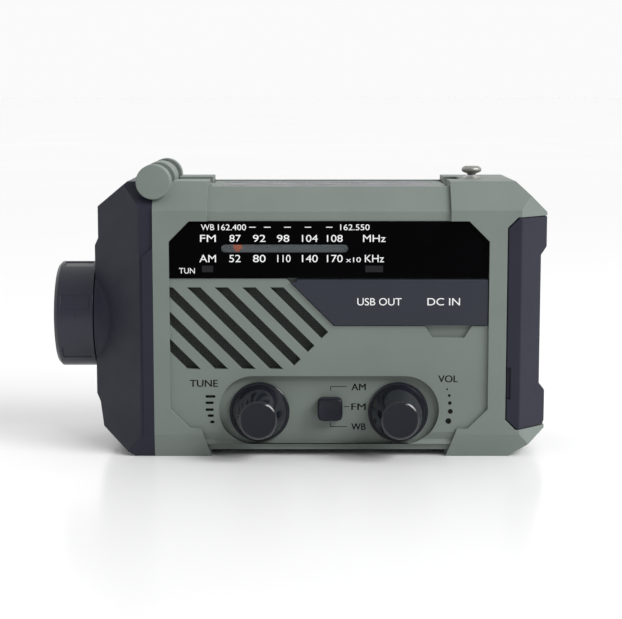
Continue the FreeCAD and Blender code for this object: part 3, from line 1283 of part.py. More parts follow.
def write_parts():
    """Check every object, then write one STEP file for each sub-part."""
    failed = [item.Name for item in doc.Objects if {"Invalid", "Error"} & set(item.State)]
    failed += [item.Label for item in SUBPARTS if item.Shape.isNull() or not item.Shape.isValid()]
    if failed:
        raise RuntimeError("these objects did not build: " + ", ".join(failed))
    os.makedirs("parts", exist_ok=True)
    for item in SUBPARTS:
        item.Shape.exportStep(os.path.join("parts", f"{item.Label}.step"))


build()
write_parts()
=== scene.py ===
"""Looks of the emergency radio: its finishes, softened mouldings, lettering and studio."""
import json
import logging
import math
from collections.abc import Callable
from dataclasses import dataclass
from enum import Enum
from typing import ClassVar

import bmesh
import bpy
from mathutils import Matrix, Vector


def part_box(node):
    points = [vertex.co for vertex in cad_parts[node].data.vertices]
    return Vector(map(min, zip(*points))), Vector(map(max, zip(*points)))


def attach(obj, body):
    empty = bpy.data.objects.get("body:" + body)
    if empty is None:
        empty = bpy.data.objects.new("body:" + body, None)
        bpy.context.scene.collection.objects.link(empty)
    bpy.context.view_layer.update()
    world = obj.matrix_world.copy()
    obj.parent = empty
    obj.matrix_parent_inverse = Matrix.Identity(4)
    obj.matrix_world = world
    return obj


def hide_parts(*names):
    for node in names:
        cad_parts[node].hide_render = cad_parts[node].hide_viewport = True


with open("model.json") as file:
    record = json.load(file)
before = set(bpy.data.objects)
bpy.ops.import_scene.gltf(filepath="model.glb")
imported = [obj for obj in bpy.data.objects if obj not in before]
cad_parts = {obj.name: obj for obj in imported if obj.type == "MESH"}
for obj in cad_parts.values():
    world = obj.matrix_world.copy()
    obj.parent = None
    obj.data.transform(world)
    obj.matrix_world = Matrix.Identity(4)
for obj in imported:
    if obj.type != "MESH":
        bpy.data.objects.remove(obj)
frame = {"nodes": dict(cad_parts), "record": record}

LOG = logging.getLogger("radio")
MM = 0.001
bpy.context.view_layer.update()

SAME_PLACE = 2e-6
FLAT_WITHIN = math.radians(0.6)
ROUNDED_FROM = math.radians(24)
SHARP_FROM = math.radians(38)

Triple = tuple[float, float, float]
Colour = Triple
Point = tuple[float, float]


def srgb(red: int, green: int, blue: int) -> Colour:
    """Turn a display colour into a linear one.

    Args:
        red: Red from 0 to 255.
        green: Green from 0 to 255.
        blue: Blue from 0 to 255.

    Returns:
        The linear colour.
    """
    def linear(value: int) -> float:
        """Linear value of one channel."""
        part = value / 255
        return part / 12.92 if part <= 0.04045 else ((part + 0.055) / 1.055) ** 2.4
    return linear(red), linear(green), linear(blue)


# ---------------------------------------------------------------- finishes

class ShaderGraph:
    """One material's node tree, with short calls to add and link nodes."""

    NOISE_SPAN = (0.3, 0.7)

    def __init__(self, name: str) -> None:
        """Start a material that has only its surface shader and output."""
        self.material = bpy.data.materials.new(name)
        self.material.use_nodes = True
        self.tree = self.material.node_tree
        self.shader = self.tree.nodes["Principled BSDF"]
        self.coordinates = self.tree.nodes.new("ShaderNodeTexCoord").outputs["Object"]

    def add(self, kind: str, **settings: object) -> bpy.types.Node:
        """Add a node.

        Args:
            kind: The node's type name.
            settings: Properties of the node.

        Returns:
            The new node.
        """
        node = self.tree.nodes.new(kind)
        for name, value in settings.items():
            setattr(node, name, value)
        return node

    def link(self, source: bpy.types.NodeSocket, target: bpy.types.NodeSocket) -> None:
        """Link two sockets."""
        self.tree.links.new(source, target)

    def noise(self, size: float, detail: float = 3.0, stretch: Triple = (1, 1, 1)) -> bpy.types.NodeSocket:
        """Add a noise pattern on object coordinates.

        Args:
            size: Size of the pattern's features in millimetres.
            detail: Octaves of finer noise.
            stretch: Scale along each axis, under one for long streaks.

        Returns:
            The pattern's grey value.
        """
        mapping = self.add("ShaderNodeMapping")
        mapping.inputs["Scale"].default_value = stretch
        self.link(self.coordinates, mapping.inputs["Vector"])
        noise = self.add("ShaderNodeTexNoise")
        noise.inputs["Scale"].default_value = 1 / (size * MM)
        noise.inputs["Detail"].default_value = detail
        self.link(mapping.outputs["Vector"], noise.inputs["Vector"])
        return noise.outputs["Fac"]

    def span(self, value: bpy.types.NodeSocket, low: float, high: float) -> bpy.types.NodeSocket:
        """Map a noise value from its usual span onto a range.

        Args:
            value: The value to map.
            low: Result at the span's lower end.
            high: Result at its upper end.

        Returns:
            The mapped value.
        """
        ramp = self.add("ShaderNodeMapRange")
        ramp.inputs["From Min"].default_value, ramp.inputs["From Max"].default_value = self.NOISE_SPAN
        ramp.inputs["To Min"].default_value = low
        ramp.inputs["To Max"].default_value = high
        self.link(value, ramp.inputs["Value"])
        return ramp.outputs["Result"]

    def blend(self, factor: bpy.types.NodeSocket, first: Colour, second: Colour) -> bpy.types.NodeSocket:
        """Mix two colours by a grey value.

        Args:
            factor: Zero gives the first colour and one the second.
            first: First colour.
            second: Second colour.

        Returns:
            The mixed colour.
        """
        mix = self.add("ShaderNodeMix", data_type="RGBA")
        mix.inputs[6].default_value = (*first, 1)
        mix.inputs[7].default_value = (*second, 1)
        self.link(factor, mix.inputs["Factor"])
        return mix.outputs[2]

    def bump(self, height: bpy.types.NodeSocket, depth: float) -> None:
        """Raise the surface by a grey value.

        Args:
            height: The pattern.
            depth: Height of a full step in millimetres.
        """
        bump = self.add("ShaderNodeBump")
        bump.inputs["Distance"].default_value = depth * MM
        bump.inputs["Strength"].default_value = 1.0
        self.link(height, bump.inputs["Height"])
        self.link(bump.outputs["Normal"], self.shader.inputs["Normal"])


@dataclass(frozen=True)
class Moulded:
    """Moulded plastic with a fine spark-eroded grain and a little uneven colour.

    Attributes:
        name: Name of the material.
        colour: Linear colour.
        roughness: Middle roughness.
        grain: Size of the grain in millimetres.
        depth: Depth of the grain in millimetres.
        spread: Share by which the colour varies.
        coat: Strength of a clear gloss over it.
        specular: Strength of the plain reflection, 0.5 for common plastic.
    """

    name: str
    colour: Colour
    roughness: float = 0.5
    grain: float = 0.35
    depth: float = 0.02
    spread: float = 0.06
    coat: float = 0.0
    specular: float = 0.5

    def material(self) -> bpy.types.Material:
        """Build the material."""
        graph = ShaderGraph(self.name)
        clouds = graph.noise(18, 4)
        dark = tuple(channel * (1 - self.spread) for channel in self.colour)
        light = tuple(min(1.0, channel * (1 + self.spread)) for channel in self.colour)
        graph.link(graph.blend(graph.span(clouds, 0, 1), dark, light), graph.shader.inputs["Base Color"])
        wear = graph.span(graph.noise(7, 5), self.roughness - 0.05, self.roughness + 0.06)
        graph.link(wear, graph.shader.inputs["Roughness"])
        graph.bump(graph.noise(self.grain, 2), self.depth)
        graph.shader.inputs["Coat Weight"].default_value = self.coat
        graph.shader.inputs["Coat Roughness"].default_value = 0.08
        graph.shader.inputs["Specular IOR Level"].default_value = self.specular
        return graph.material


@dataclass(frozen=True)
class Metal:
    """Metal with fine drawing lines or a plated shine.

    Attributes:
        name: Name of the material.
        colour: Linear colour.
        roughness: Middle roughness.
        stretch: Scale along each axis, under one along the drawing lines.
    """

    name: str
    colour: Colour
    roughness: float = 0.3
    stretch: Triple = (1, 1, 1)

    def material(self) -> bpy.types.Material:
        """Build the material."""
        graph = ShaderGraph(self.name)
        lines = graph.noise(0.25, 3, self.stretch)
        dark = tuple(channel * 0.86 for channel in self.colour)
        graph.link(graph.blend(graph.span(graph.noise(4, 3), 0, 1), dark, self.colour),
                   graph.shader.inputs["Base Color"])
        graph.link(graph.span(lines, self.roughness * 0.8, self.roughness * 1.25),
                   graph.shader.inputs["Roughness"])
        graph.bump(lines, 0.004)
        graph.shader.inputs["Metallic"].default_value = 1.0
        return graph.material


@dataclass(frozen=True)
class Ink:
    """Printed ink, a little uneven at its scale.

    Attributes:
        name: Name of the material.
        colour: Linear colour.
        glow: Strength of a painted glow that brightens the print; no lamp is behind it.
    """

    name: str
    colour: Colour
    glow: float = 0.0

    def material(self) -> bpy.types.Material:
        """Build the material."""
        graph = ShaderGraph(self.name)
        thin = tuple(channel * 0.82 for channel in self.colour)
        graph.link(graph.blend(graph.span(graph.noise(0.3, 2), 0, 1), thin, self.colour),
                   graph.shader.inputs["Base Color"])
        graph.shader.inputs["Roughness"].default_value = 0.6
        graph.shader.inputs["Specular IOR Level"].default_value = 0.1
        # The emission below is a painted glow on the white print.
        graph.shader.inputs["Emission Color"].default_value = (*self.colour, 1)
        graph.shader.inputs["Emission Strength"].default_value = self.glow
        return graph.material


@dataclass(frozen=True)
class Clear:
    """Clear or tinted plastic with faint moulding waves.

    Attributes:
        name: Name of the material.
        colour: Linear tint.
        roughness: Surface roughness.
        transmission: Share of light that passes.
        cover: Share of the view that the plastic's own haze covers.
    """

    name: str
    colour: Colour
    roughness: float = 0.03
    transmission: float = 1.0
    cover: float = 1.0

    def material(self) -> bpy.types.Material:
        """Build the material."""
        graph = ShaderGraph(self.name)
        pale = tuple(min(1.0, channel * 1.04) for channel in self.colour)
        graph.link(graph.blend(graph.span(graph.noise(5, 2), 0, 1), self.colour, pale),
                   graph.shader.inputs["Base Color"])
        graph.shader.inputs["Roughness"].default_value = self.roughness
        graph.shader.inputs["Transmission Weight"].default_value = self.transmission
        graph.shader.inputs["IOR"].default_value = 1.49
        graph.shader.inputs["Alpha"].default_value = self.cover
        graph.bump(graph.noise(6, 1), 0.01)
        return graph.material


@dataclass(frozen=True)
class LampOrPaintedGlow:
    """Plastic that gives off light: the lamp's own lights, and a painted glow on the dial pointer and scale
    strip, which have no lamp behind them.

    Attributes:
        name: Name of the material.
        colour: Linear colour.
        strength: Brightness of the glow.
    """

    name: str
    colour: Colour
    strength: float

    def material(self) -> bpy.types.Material:
        """Build the material."""
        graph = ShaderGraph(self.name)
        deep = tuple(channel * 0.7 for channel in self.colour)
        colour = graph.blend(graph.span(graph.noise(1.2, 2), 0.3, 0.7), deep, self.colour)
        graph.link(colour, graph.shader.inputs["Base Color"])
        # The emission is the lamp's own light for the lamp lights, and a painted glow for the pointer and
        # scale strip.
        graph.link(colour, graph.shader.inputs["Emission Color"])
        graph.shader.inputs["Emission Strength"].default_value = self.strength
        graph.shader.inputs["Roughness"].default_value = 0.5
        graph.bump(graph.noise(2.0, 2), 0.01)
        return graph.material


@dataclass(frozen=True)
class Cloth:
    """Fine woven speaker cloth.

    Attributes:
        name: Name of the material.
        colour: Linear colour of the threads.
        pitch: Spacing of the threads in millimetres.
    """

    name: str
    colour: Colour
    pitch: float = 0.7

    def material(self) -> bpy.types.Material:
        """Build the material."""
        graph = ShaderGraph(self.name)
        heights = []
        for direction in ("X", "Z"):
            wave = graph.add("ShaderNodeTexWave", wave_type="BANDS", bands_direction=direction)
            wave.inputs["Scale"].default_value = 1 / (self.pitch * MM * 3.2)
            wave.inputs["Distortion"].default_value = 0.4
            graph.link(graph.coordinates, wave.inputs["Vector"])
            heights.append(wave.outputs["Fac"])
        weave = graph.add("ShaderNodeMath", operation="MULTIPLY")
        graph.link(heights[0], weave.inputs[0])
        graph.link(heights[1], weave.inputs[1])
        dark = tuple(channel * 0.45 for channel in self.colour)
        graph.link(graph.blend(weave.outputs["Value"], dark, self.colour), graph.shader.inputs["Base Color"])
        graph.bump(weave.outputs["Value"], 0.12)
        graph.shader.inputs["Roughness"].default_value = 0.8
        graph.shader.inputs["Sheen Weight"].default_value = 0.15
        graph.shader.inputs["Specular IOR Level"].default_value = 0.2
        return graph.material


@dataclass(frozen=True)
class CircuitBoard:
    """Green solder mask with copper tracks under it.

    Attributes:
        name: Name of the material.
        pitch: Spacing of the tracks in millimetres.
    """

    name: str = "solder_mask"
    pitch: float = 2.54

    def material(self) -> bpy.types.Material:
        """Build the material."""
        graph = ShaderGraph(self.name)
        brick = graph.add("ShaderNodeTexBrick")
        brick.inputs["Scale"].default_value = 1 / (self.pitch * MM)
        brick.inputs["Mortar Size"].default_value = 0.08
        brick.inputs["Color1"].default_value = (0.008, 0.10, 0.035, 1)
        brick.inputs["Color2"].default_value = (0.012, 0.13, 0.045, 1)
        brick.inputs["Mortar"].default_value = (0.05, 0.22, 0.06, 1)
        turn = graph.add("ShaderNodeMapping")
        turn.inputs["Rotation"].default_value = (math.pi / 2, 0, 0)
        graph.link(graph.coordinates, turn.inputs["Vector"])
        graph.link(turn.outputs["Vector"], brick.inputs["Vector"])
        graph.link(brick.outputs["Color"], graph.shader.inputs["Base Color"])
        graph.bump(brick.outputs["Fac"], -0.03)
        graph.shader.inputs["Roughness"].default_value = 0.25
        return graph.material


class Surface(Enum):
    """Every finish that the radio wears."""

    GREY = Moulded("grey_moulding", (0.155, 0.182, 0.166), 0.52, 0.3, 0.012, 0.04, 0.0, 0.4)
    DARK = Moulded("dark_moulding", (0.0135, 0.0145, 0.0265), 0.42, 0.3, 0.012, 0.06, 0.0, 0.26)
    TORCH = Moulded("torch_moulding", (0.022, 0.024, 0.036), 0.32, 0.5, 0.006, 0.06, 0.08, 0.3)
    KNOB = Moulded("knob_face", (0.011, 0.012, 0.018), 0.34, 0.6, 0.004, 0.05, 0.0, 0.2)
    KNOB_SIDE = Moulded("knob_side", (0.008, 0.009, 0.014), 0.10, 0.8, 0.002, 0.05, 0.35, 0.4)
    COVER = Moulded("cover_moulding", (0.018, 0.021, 0.032), 0.36, 0.3, 0.010, 0.05, 0.0, 0.35)
    WINDOW = Moulded("window_gloss", (0.0010, 0.0008, 0.0011), 0.34, 2.0, 0.001, 0.2, 0.0, 0.02)
    BLACK = Moulded("black_moulding", (0.009, 0.009, 0.011), 0.5, 0.3, 0.012, 0.1, 0.0, 0.3)
    PALE = Moulded("pale_moulding", srgb(214, 212, 204), 0.45, 0.3, 0.010, 0.04)
    # Painted glow: the orange pointer gives off light of its own, though no lamp is behind it.
    POINTER = LampOrPaintedGlow("pointer_orange_painted_glow", (0.42, 0.10, 0.045), 1.0)
    # Painted glow: the scale strip gives off light of its own, though no lamp is behind it.
    STRIP = LampOrPaintedGlow("scale_strip_painted_glow", (0.105, 0.122, 0.134), 0.9)
    CELL = Moulded("cell_wrap", srgb(52, 88, 140), 0.3, 1.5, 0.005, 0.1)
    CONE = Moulded("cone_paper", srgb(34, 33, 32), 0.8, 0.8, 0.05, 0.2)
    PANEL = Moulded("panel_glass", srgb(14, 20, 40), 0.30, 1.4, 0.003, 0.25, 0.0, 0.3)
    STEEL = Metal("steel", (0.58, 0.59, 0.60), 0.32, (1, 0.1, 1))
    CHROME = Metal("chrome_plate", (0.75, 0.75, 0.74), 0.16)
    BUTTON = Metal("button_plate", (0.34, 0.34, 0.32), 0.42)
    MIRROR = Metal("reflector_plate", (0.86, 0.87, 0.88), 0.06)
    BRASS = Metal("brass", (0.62, 0.44, 0.18), 0.3, (1, 1, 0.1))
    LENS = Clear("lens_clear", (0.94, 0.96, 0.97))
    SMOKE = Clear("scale_frosted", (0.105, 0.118, 0.125), 0.35, 0.0, 0.25)
    LIGHT_PIPE = Moulded("light_pipe", (0.012, 0.011, 0.013), 0.3, 0.5, 0.004, 0.1, 0.0, 0.15)
    DIFFUSER = Clear("lamp_diffuser", (0.9, 0.9, 0.87), 0.5, 0.5)
    # Painted glow: the white print gives off a little light of its own, though no lamp is behind it.
    WHITE_INK_PAINTED_GLOW = Ink("white_ink_painted_glow", (0.83, 0.84, 0.84), 0.05)
    BLACK_INK = Ink("black_ink", (0.006, 0.006, 0.007))
    BOARD = CircuitBoard()
    WIRE = Metal("cell_wire", (0.20, 0.21, 0.24), 0.35)
    LED = LampOrPaintedGlow("lamp_light", (0.75, 0.70, 0.45), 0.15)
    CLOTH = Cloth("speaker_cloth", (0.060, 0.068, 0.062))


_BUILT: dict[Surface, bpy.types.Material] = {}


def finish_of(surface: Surface) -> bpy.types.Material:
    """Material of a surface, built the first time it is asked for.

    Args:
        surface: The finish.

    Returns:
        Its material.
    """
    if surface not in _BUILT:
        _BUILT[surface] = surface.value.material()
    return _BUILT[surface]


# ---------------------------------------------------------------- mesh tools

def piece_from(name: str, shape: bmesh.types.BMesh, surface: Surface,
               angle: float = 30.0) -> bpy.types.Object:
    """Turn a bmesh into a finished object at the origin.

    Args:
        name: Name of the piece.
        shape: The mesh, which is freed.
        surface: Its finish.
        angle: Edges sharper than this many degrees stay sharp.

    Returns:
        The object.
    """
    bmesh.ops.recalc_face_normals(shape, faces=shape.faces)
    mesh = bpy.data.meshes.new(name)
    shape.to_mesh(mesh)
    shape.free()
    return dressed(name, mesh, surface, angle)


def dressed(name: str, mesh: bpy.types.Mesh, surface: Surface, angle: float = 30.0) -> bpy.types.Object:
    """Link a mesh as an object with one finish and smooth shading.

    Args:
        name: Name of the piece.
        mesh: Its mesh.
        surface: Its finish.
        angle: Edges sharper than this many degrees stay sharp.

    Returns:
        The object.
    """
    mesh.name = name
    mesh.materials.clear()
    mesh.materials.append(finish_of(surface))
    mesh.shade_smooth()
    mesh.set_sharp_from_angle(angle=math.radians(angle))
    item = bpy.data.objects.new(name, mesh)
    bpy.context.scene.collection.objects.link(item)
    return item


def settle(item: bpy.types.Object) -> None:
    """Apply an object's modifiers by replacing its mesh with the evaluated one.

    Args:
        item: The object, which keeps no modifiers.
    """
    graph = bpy.context.evaluated_depsgraph_get()
    mesh = bpy.data.meshes.new_from_object(item.evaluated_get(graph), depsgraph=graph)
    item.modifiers.clear()
    item.data = mesh


def merged_copy(node: str) -> bmesh.types.BMesh:
    """Copy a CAD node's mesh with its corners merged and its flat faces whole.

    Args:
        node: Name of the CAD node.

    Returns:
        The copy.
    """
    shape = bmesh.new()
    shape.from_mesh(frame["nodes"][node].data)
    bmesh.ops.remove_doubles(shape, verts=shape.verts, dist=SAME_PLACE)
    bmesh.ops.dissolve_limit(shape, angle_limit=FLAT_WITHIN, verts=shape.verts, edges=shape.edges)
    return shape


def softened(node: str, surface: Surface, width: float, segments: int = 3,
             share: Callable[[Vector], float] = lambda place: 1.0,
             moved: Callable[[Vector], Vector] = lambda place: place) -> None:
    """Give a CAD node rounded outer edges, as a mould leaves them, and stand in for it.

    Args:
        node: Name of the CAD node.
        surface: Its finish.
        width: Width of the rounding in millimetres.
        segments: Facets across the rounding.
        share: Share of the width that an edge gets, from its middle in metres.
        moved: Where a point of the CAD shape goes, both in metres.
    """
    shape = merged_copy(node)
    for vertex in shape.verts:
        vertex.co = moved(vertex.co)
    weights = shape.edges.layers.float.new("bevel_weight_edge")
    for edge in shape.edges:
        if edge.is_convex and edge.calc_face_angle(0.0) > ROUNDED_FROM:
            edge[weights] = share((edge.verts[0].co + edge.verts[1].co) / 2)
    mesh = bpy.data.meshes.new(node)
    shape.to_mesh(mesh)
    shape.free()
    item = bpy.data.objects.new(f"{node}_moulding", mesh)
    bpy.context.scene.collection.objects.link(item)
    rounding = item.modifiers.new("Rounding", "BEVEL")
    rounding.width = width * MM
    rounding.segments = segments
    rounding.limit_method = "WEIGHT"
    rounding.use_clamp_overlap = True
    rounding.miter_outer = "MITER_ARC"
    settle(item)
    item.data.materials.clear()
    item.data.materials.append(finish_of(surface))
    item.data.shade_smooth()
    item.data.set_sharp_from_angle(angle=SHARP_FROM)
    flatten_shading(item)
    stand_in(item, node)


def flatten_shading(item: bpy.types.Object) -> None:
    """Let large flat faces keep their own direction beside small rounded ones.

    Args:
        item: The piece.
    """
    normals = item.modifiers.new("Normals", "WEIGHTED_NORMAL")
    normals.weight = 100
    normals.keep_sharp = True
    settle(item)


def body_of(node: str) -> str:
    """Name of the body that a CAD node belongs to."""
    return next(body for body, nodes in frame["record"]["behaviour"]["bodies"].items() if node in nodes)


def stand_in(item: bpy.types.Object, *nodes: str) -> None:
    """Let a piece ride with the CAD nodes that it replaces.

    Args:
        item: The piece.
        nodes: The CAD nodes.
    """
    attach(item, body_of(nodes[0]))
    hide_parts(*nodes)
    LOG.info("%s stands for %s", item.name, ", ".join(nodes))


def beside(item: bpy.types.Object, node: str) -> None:
    """Let an added piece ride with a CAD node.

    Args:
        item: The piece.
        node: The CAD node that carries it.
    """
    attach(item, body_of(node))
    LOG.info("%s rides with %s", item.name, node)


def lathe(profile: list[Point], centre: Vector, axis: Vector, steps: int = 96) -> bmesh.types.BMesh:
    """Spin a half section round an axis into a closed mesh.

    Args:
        profile: Pairs of distance along the axis and radius, in millimetres; zero radii close the ends.
        centre: Point on the axis in metres, where the distance is zero.
        axis: Direction of the axis.
        steps: Facets round the axis.

    Returns:
        The mesh.
    """
    shape = bmesh.new()
    turn = axis.to_track_quat("Z", "Y").to_matrix().to_4x4()
    rings: list[list[bmesh.types.BMVert]] = []
    for along, radius in profile:
        if radius == 0:
            rings.append([shape.verts.new(centre + turn @ Vector((0, 0, along * MM)))])
            continue
        ring = []
        for step in range(steps):
            angle = 2 * math.pi * step / steps
            place = Vector((radius * MM * math.cos(angle), radius * MM * math.sin(angle), along * MM))
            ring.append(shape.verts.new(centre + turn @ place))
        rings.append(ring)
    closed = profile[0][1] != 0 and profile[-1][1] != 0
    pairs = list(zip(rings, rings[1:] + rings[:1])) if closed else list(zip(rings, rings[1:]))
    for first, second in pairs:
        for step in range(steps):
            following = (step + 1) % steps
            corners = [first[step % len(first)], first[following % len(first)],
                       second[following % len(second)], second[step % len(second)]]
            unique = list(dict.fromkeys(corners))
            if len(unique) > 2:
                shape.faces.new(unique)
    return shape


def rounded(profile: list[Point], radius: float, segments: int = 4) -> list[Point]:
    """Round the inner corners of a section's outline.

    Args:
        profile: The outline's points in millimetres.
        radius: Radius of the rounding in millimetres, cut down where a side is short.
        segments: Facets in each corner.

    Returns:
        The outline with rounded corners.
    """
    result = [profile[0]]
    for before, corner, after in zip(profile, profile[1:], profile[2:]):
        here, back, on = Vector(corner), Vector(before) - Vector(corner), Vector(after) - Vector(corner)
        reach = min(radius, back.length * 0.45, on.length * 0.45)
        start, end = here + back.normalized() * reach, here + on.normalized() * reach
        for step in range(segments + 1):
            share = step / segments
            bend = start.lerp(here, share).lerp(here.lerp(end, share), share)
            result.append((bend.x, bend.y))
    result.append(profile[-1])
    return result


# ---------------------------------------------------------------- places taken from the frame

@dataclass(frozen=True)
class Layout:
    """Main places of the radio in metres, read from the CAD nodes' boxes.

    Attributes:
        middle: X of the grey housing's middle.
        front: Y of the end frames' front faces.
        window: Y of the dial window's front face.
        panel: Y of the middle panel's front face.
        recess: Y of the control recess's floor.
        cover: Y of the connector cover's front face.
        back_half: Y where the housing's front and rear halves meet.
    """

    middle: float
    front: float
    window: float
    panel: float
    recess: float
    cover: float
    back_half: float

    @staticmethod
    def read() -> "Layout":
        """Work the places out from the frame.

        Returns:
            The places.
        """
        panel_sunk, knob_gap = 1.2 * MM, 0.3 * MM
        low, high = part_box("dial_window")
        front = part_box("front_shell")[0].y
        knob_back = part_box("tune_knob")[1].y
        return Layout(middle=(low.x + high.x) / 2, front=front, window=low.y, panel=front + panel_sunk,
                      recess=knob_back + knob_gap, cover=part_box("port_cover")[0].y,
                      back_half=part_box("front_shell")[1].y)

    def at(self, across: float, up: float, depth: float) -> Vector:
        """Point in metres for a place on the front.

        Args:
            across: Distance right of the middle in millimetres.
            up: Height in millimetres.
            depth: Y in metres.

        Returns:
            The point.
        """
        return Vector((self.middle + across * MM, depth, up * MM))


# ---------------------------------------------------------------- lettering

@dataclass
class Lettering:
    """Printed marks on the front: the dial's figures, the control names and their signs.

    Attributes:
        layout: Main places.
        lift: Thickness of the ink in millimetres.
        stroke: Width in millimetres that a bold letter's strokes gain, twice over.
    """

    layout: Layout
    lift: float = 0.03
    stroke: float = 0.24

    def words(self, text: str, left: float, right: float, low: float, high: float,
              depth: float) -> bmesh.types.BMesh:
        """Shape of a word stretched into a box on a front face.

        Args:
            text: The word.
            left: Left edge in millimetres.
            right: Right edge in millimetres.
            low: Foot of the capitals in millimetres.
            high: Top of the capitals in millimetres.
            depth: Y of the face in metres.

        Returns:
            The mesh.
        """
        curve = bpy.data.curves.new(text, "FONT")
        curve.body = text
        curve.extrude = 0.01
        item = bpy.data.objects.new(text, curve)
        bpy.context.scene.collection.objects.link(item)
        graph = bpy.context.evaluated_depsgraph_get()
        mesh = bpy.data.meshes.new_from_object(item.evaluated_get(graph), depsgraph=graph)
        bpy.data.objects.remove(item)
        shape = bmesh.new()
        shape.from_mesh(mesh)
        bmesh.ops.remove_doubles(shape, verts=shape.verts, dist=1e-5)
        across = [vertex.co.x for vertex in shape.verts]
        up = [vertex.co.y for vertex in shape.verts]
        wide, tall = max(across) - min(across), max(up) - min(up)
        origin = self.layout.at(left, low, depth)
        for vertex in shape.verts:
            flat = vertex.co
            vertex.co = Vector((origin.x + (flat.x - min(across)) / wide * (right - left) * MM,
                                origin.y - (self.lift * MM if flat.z > 0 else 0),
                                origin.z + (flat.y - min(up)) / tall * (high - low) * MM))
        return shape

    def bold(self, text: str, left: float, right: float, low: float, high: float,
             depth: float) -> list[bmesh.types.BMesh]:
        """Shapes of a word printed twice, a hair apart, so that its strokes are bolder.

        Args:
            text: The word.
            left: Left edge in millimetres.
            right: Right edge in millimetres.
            low: Foot of the capitals in millimetres.
            high: Top of the capitals in millimetres.
            depth: Y of the face in metres.

        Returns:
            The two meshes.
        """
        step = self.stroke / 2
        return [self.words(text, left, right - step, low, high, depth),
                self.words(text, left + step, right, low, high, depth - self.lift * MM / 4)]

    def bar(self, left: float, right: float, low: float, high: float,
            depth: float) -> bmesh.types.BMesh:
        """Shape of a plain bar of ink.

        Args:
            left: Left edge in millimetres.
            right: Right edge in millimetres.
            low: Lower edge in millimetres.
            high: Upper edge in millimetres.
            depth: Y of the face in metres.

        Returns:
            The mesh.
        """
        shape = bmesh.new()
        bmesh.ops.create_cube(shape, size=1)
        centre = self.layout.at((left + right) / 2, (low + high) / 2, depth - self.lift * MM / 2)
        scale = Matrix.Diagonal(((right - left) * MM, self.lift * MM, (high - low) * MM, 1))
        bmesh.ops.transform(shape, matrix=Matrix.Translation(centre) @ scale, verts=shape.verts)
        return shape

    def dot(self, across: float, up: float, radius: float, depth: float) -> bmesh.types.BMesh:
        """Shape of a round dot of ink on a front face.

        Args:
            across: Place right of the middle in millimetres.
            up: Height in millimetres.
            radius: Radius in millimetres.
            depth: Y of the face in metres.

        Returns:
            The mesh.
        """
        profile = [(0.0, 0.0), (0.0, radius), (self.lift, radius), (self.lift, 0.0)]
        return lathe(profile, self.layout.at(across, up, depth), Vector((0, -1, 0)), 32)

    def join(self, name: str, shapes: list[bmesh.types.BMesh], surface: Surface, node: str) -> None:
        """Join marks into one piece that rides with a node.

        Args:
            name: Name of the piece.
            shapes: The marks, which are freed.
            surface: Their ink.
            node: The CAD node that they are printed on.
        """
        whole = bmesh.new()
        for shape in shapes:
            bmesh.ops.recalc_face_normals(shape, faces=shape.faces)
            mesh = bpy.data.meshes.new("mark")
            shape.to_mesh(mesh)
            shape.free()
            whole.from_mesh(mesh)
            bpy.data.meshes.remove(mesh)
        mesh = bpy.data.meshes.new(name)
        whole.to_mesh(mesh)
        whole.free()
        beside(dressed(name, mesh, surface), node)

    def dial(self) -> None:
        """Print the dial's three rows of figures and the tuning lamp's name."""
        face = self.layout.window
        marks = []
        bottom, top = 74.7, 76.6
        for text, left, right in (("WB", -41.5, -37.2), ("162.400", -36.0, -26.9), ("162.550", 3.6, 13.1)):
            marks.append(self.words(text, left, right, bottom, top, face))
        dash_low, dash_high = 75.55, 75.8
        for left, right in ((-25.9, -23.8), (-21.1, -18.9), (-14.6, -12.4), (-7.9, -5.8), (-1.0, 1.1)):
            marks.append(self.bar(left, right, dash_low, dash_high, face))
        for low, high, row in ((70.9, 73.2, (("FM", -41.8, -36.7), ("87", -32.3, -28.6), ("92", -24.7, -20.6),
                                             ("98", -16.9, -12.9), ("104", -8.8, -3.7), ("108", -0.7, 4.4),
                                             ("MHz", 11.0, 18.3))),
                               (64.3, 66.7, (("AM", -42.1, -36.7), ("52", -32.4, -28.7), ("80", -24.7, -20.6),
                                             ("110", -16.8, -12.5), ("140", -8.8, -3.7), ("170", -0.7, 4.4),
                                             ("KHz", 11.6, 17.8)))):
            marks.extend(self.words(text, left, right, low, high, face) for text, left, right in row)
        marks.append(self.words("x10", 5.5, 10.3, 64.3, 65.9, face))
        marks.append(self.words("TUN", -48.7, -43.6, 60.6, 62.4, face))
        # The white figures carry a slight painted glow.
        self.join("dial_figures", marks, Surface.WHITE_INK_PAINTED_GLOW, "dial_window")

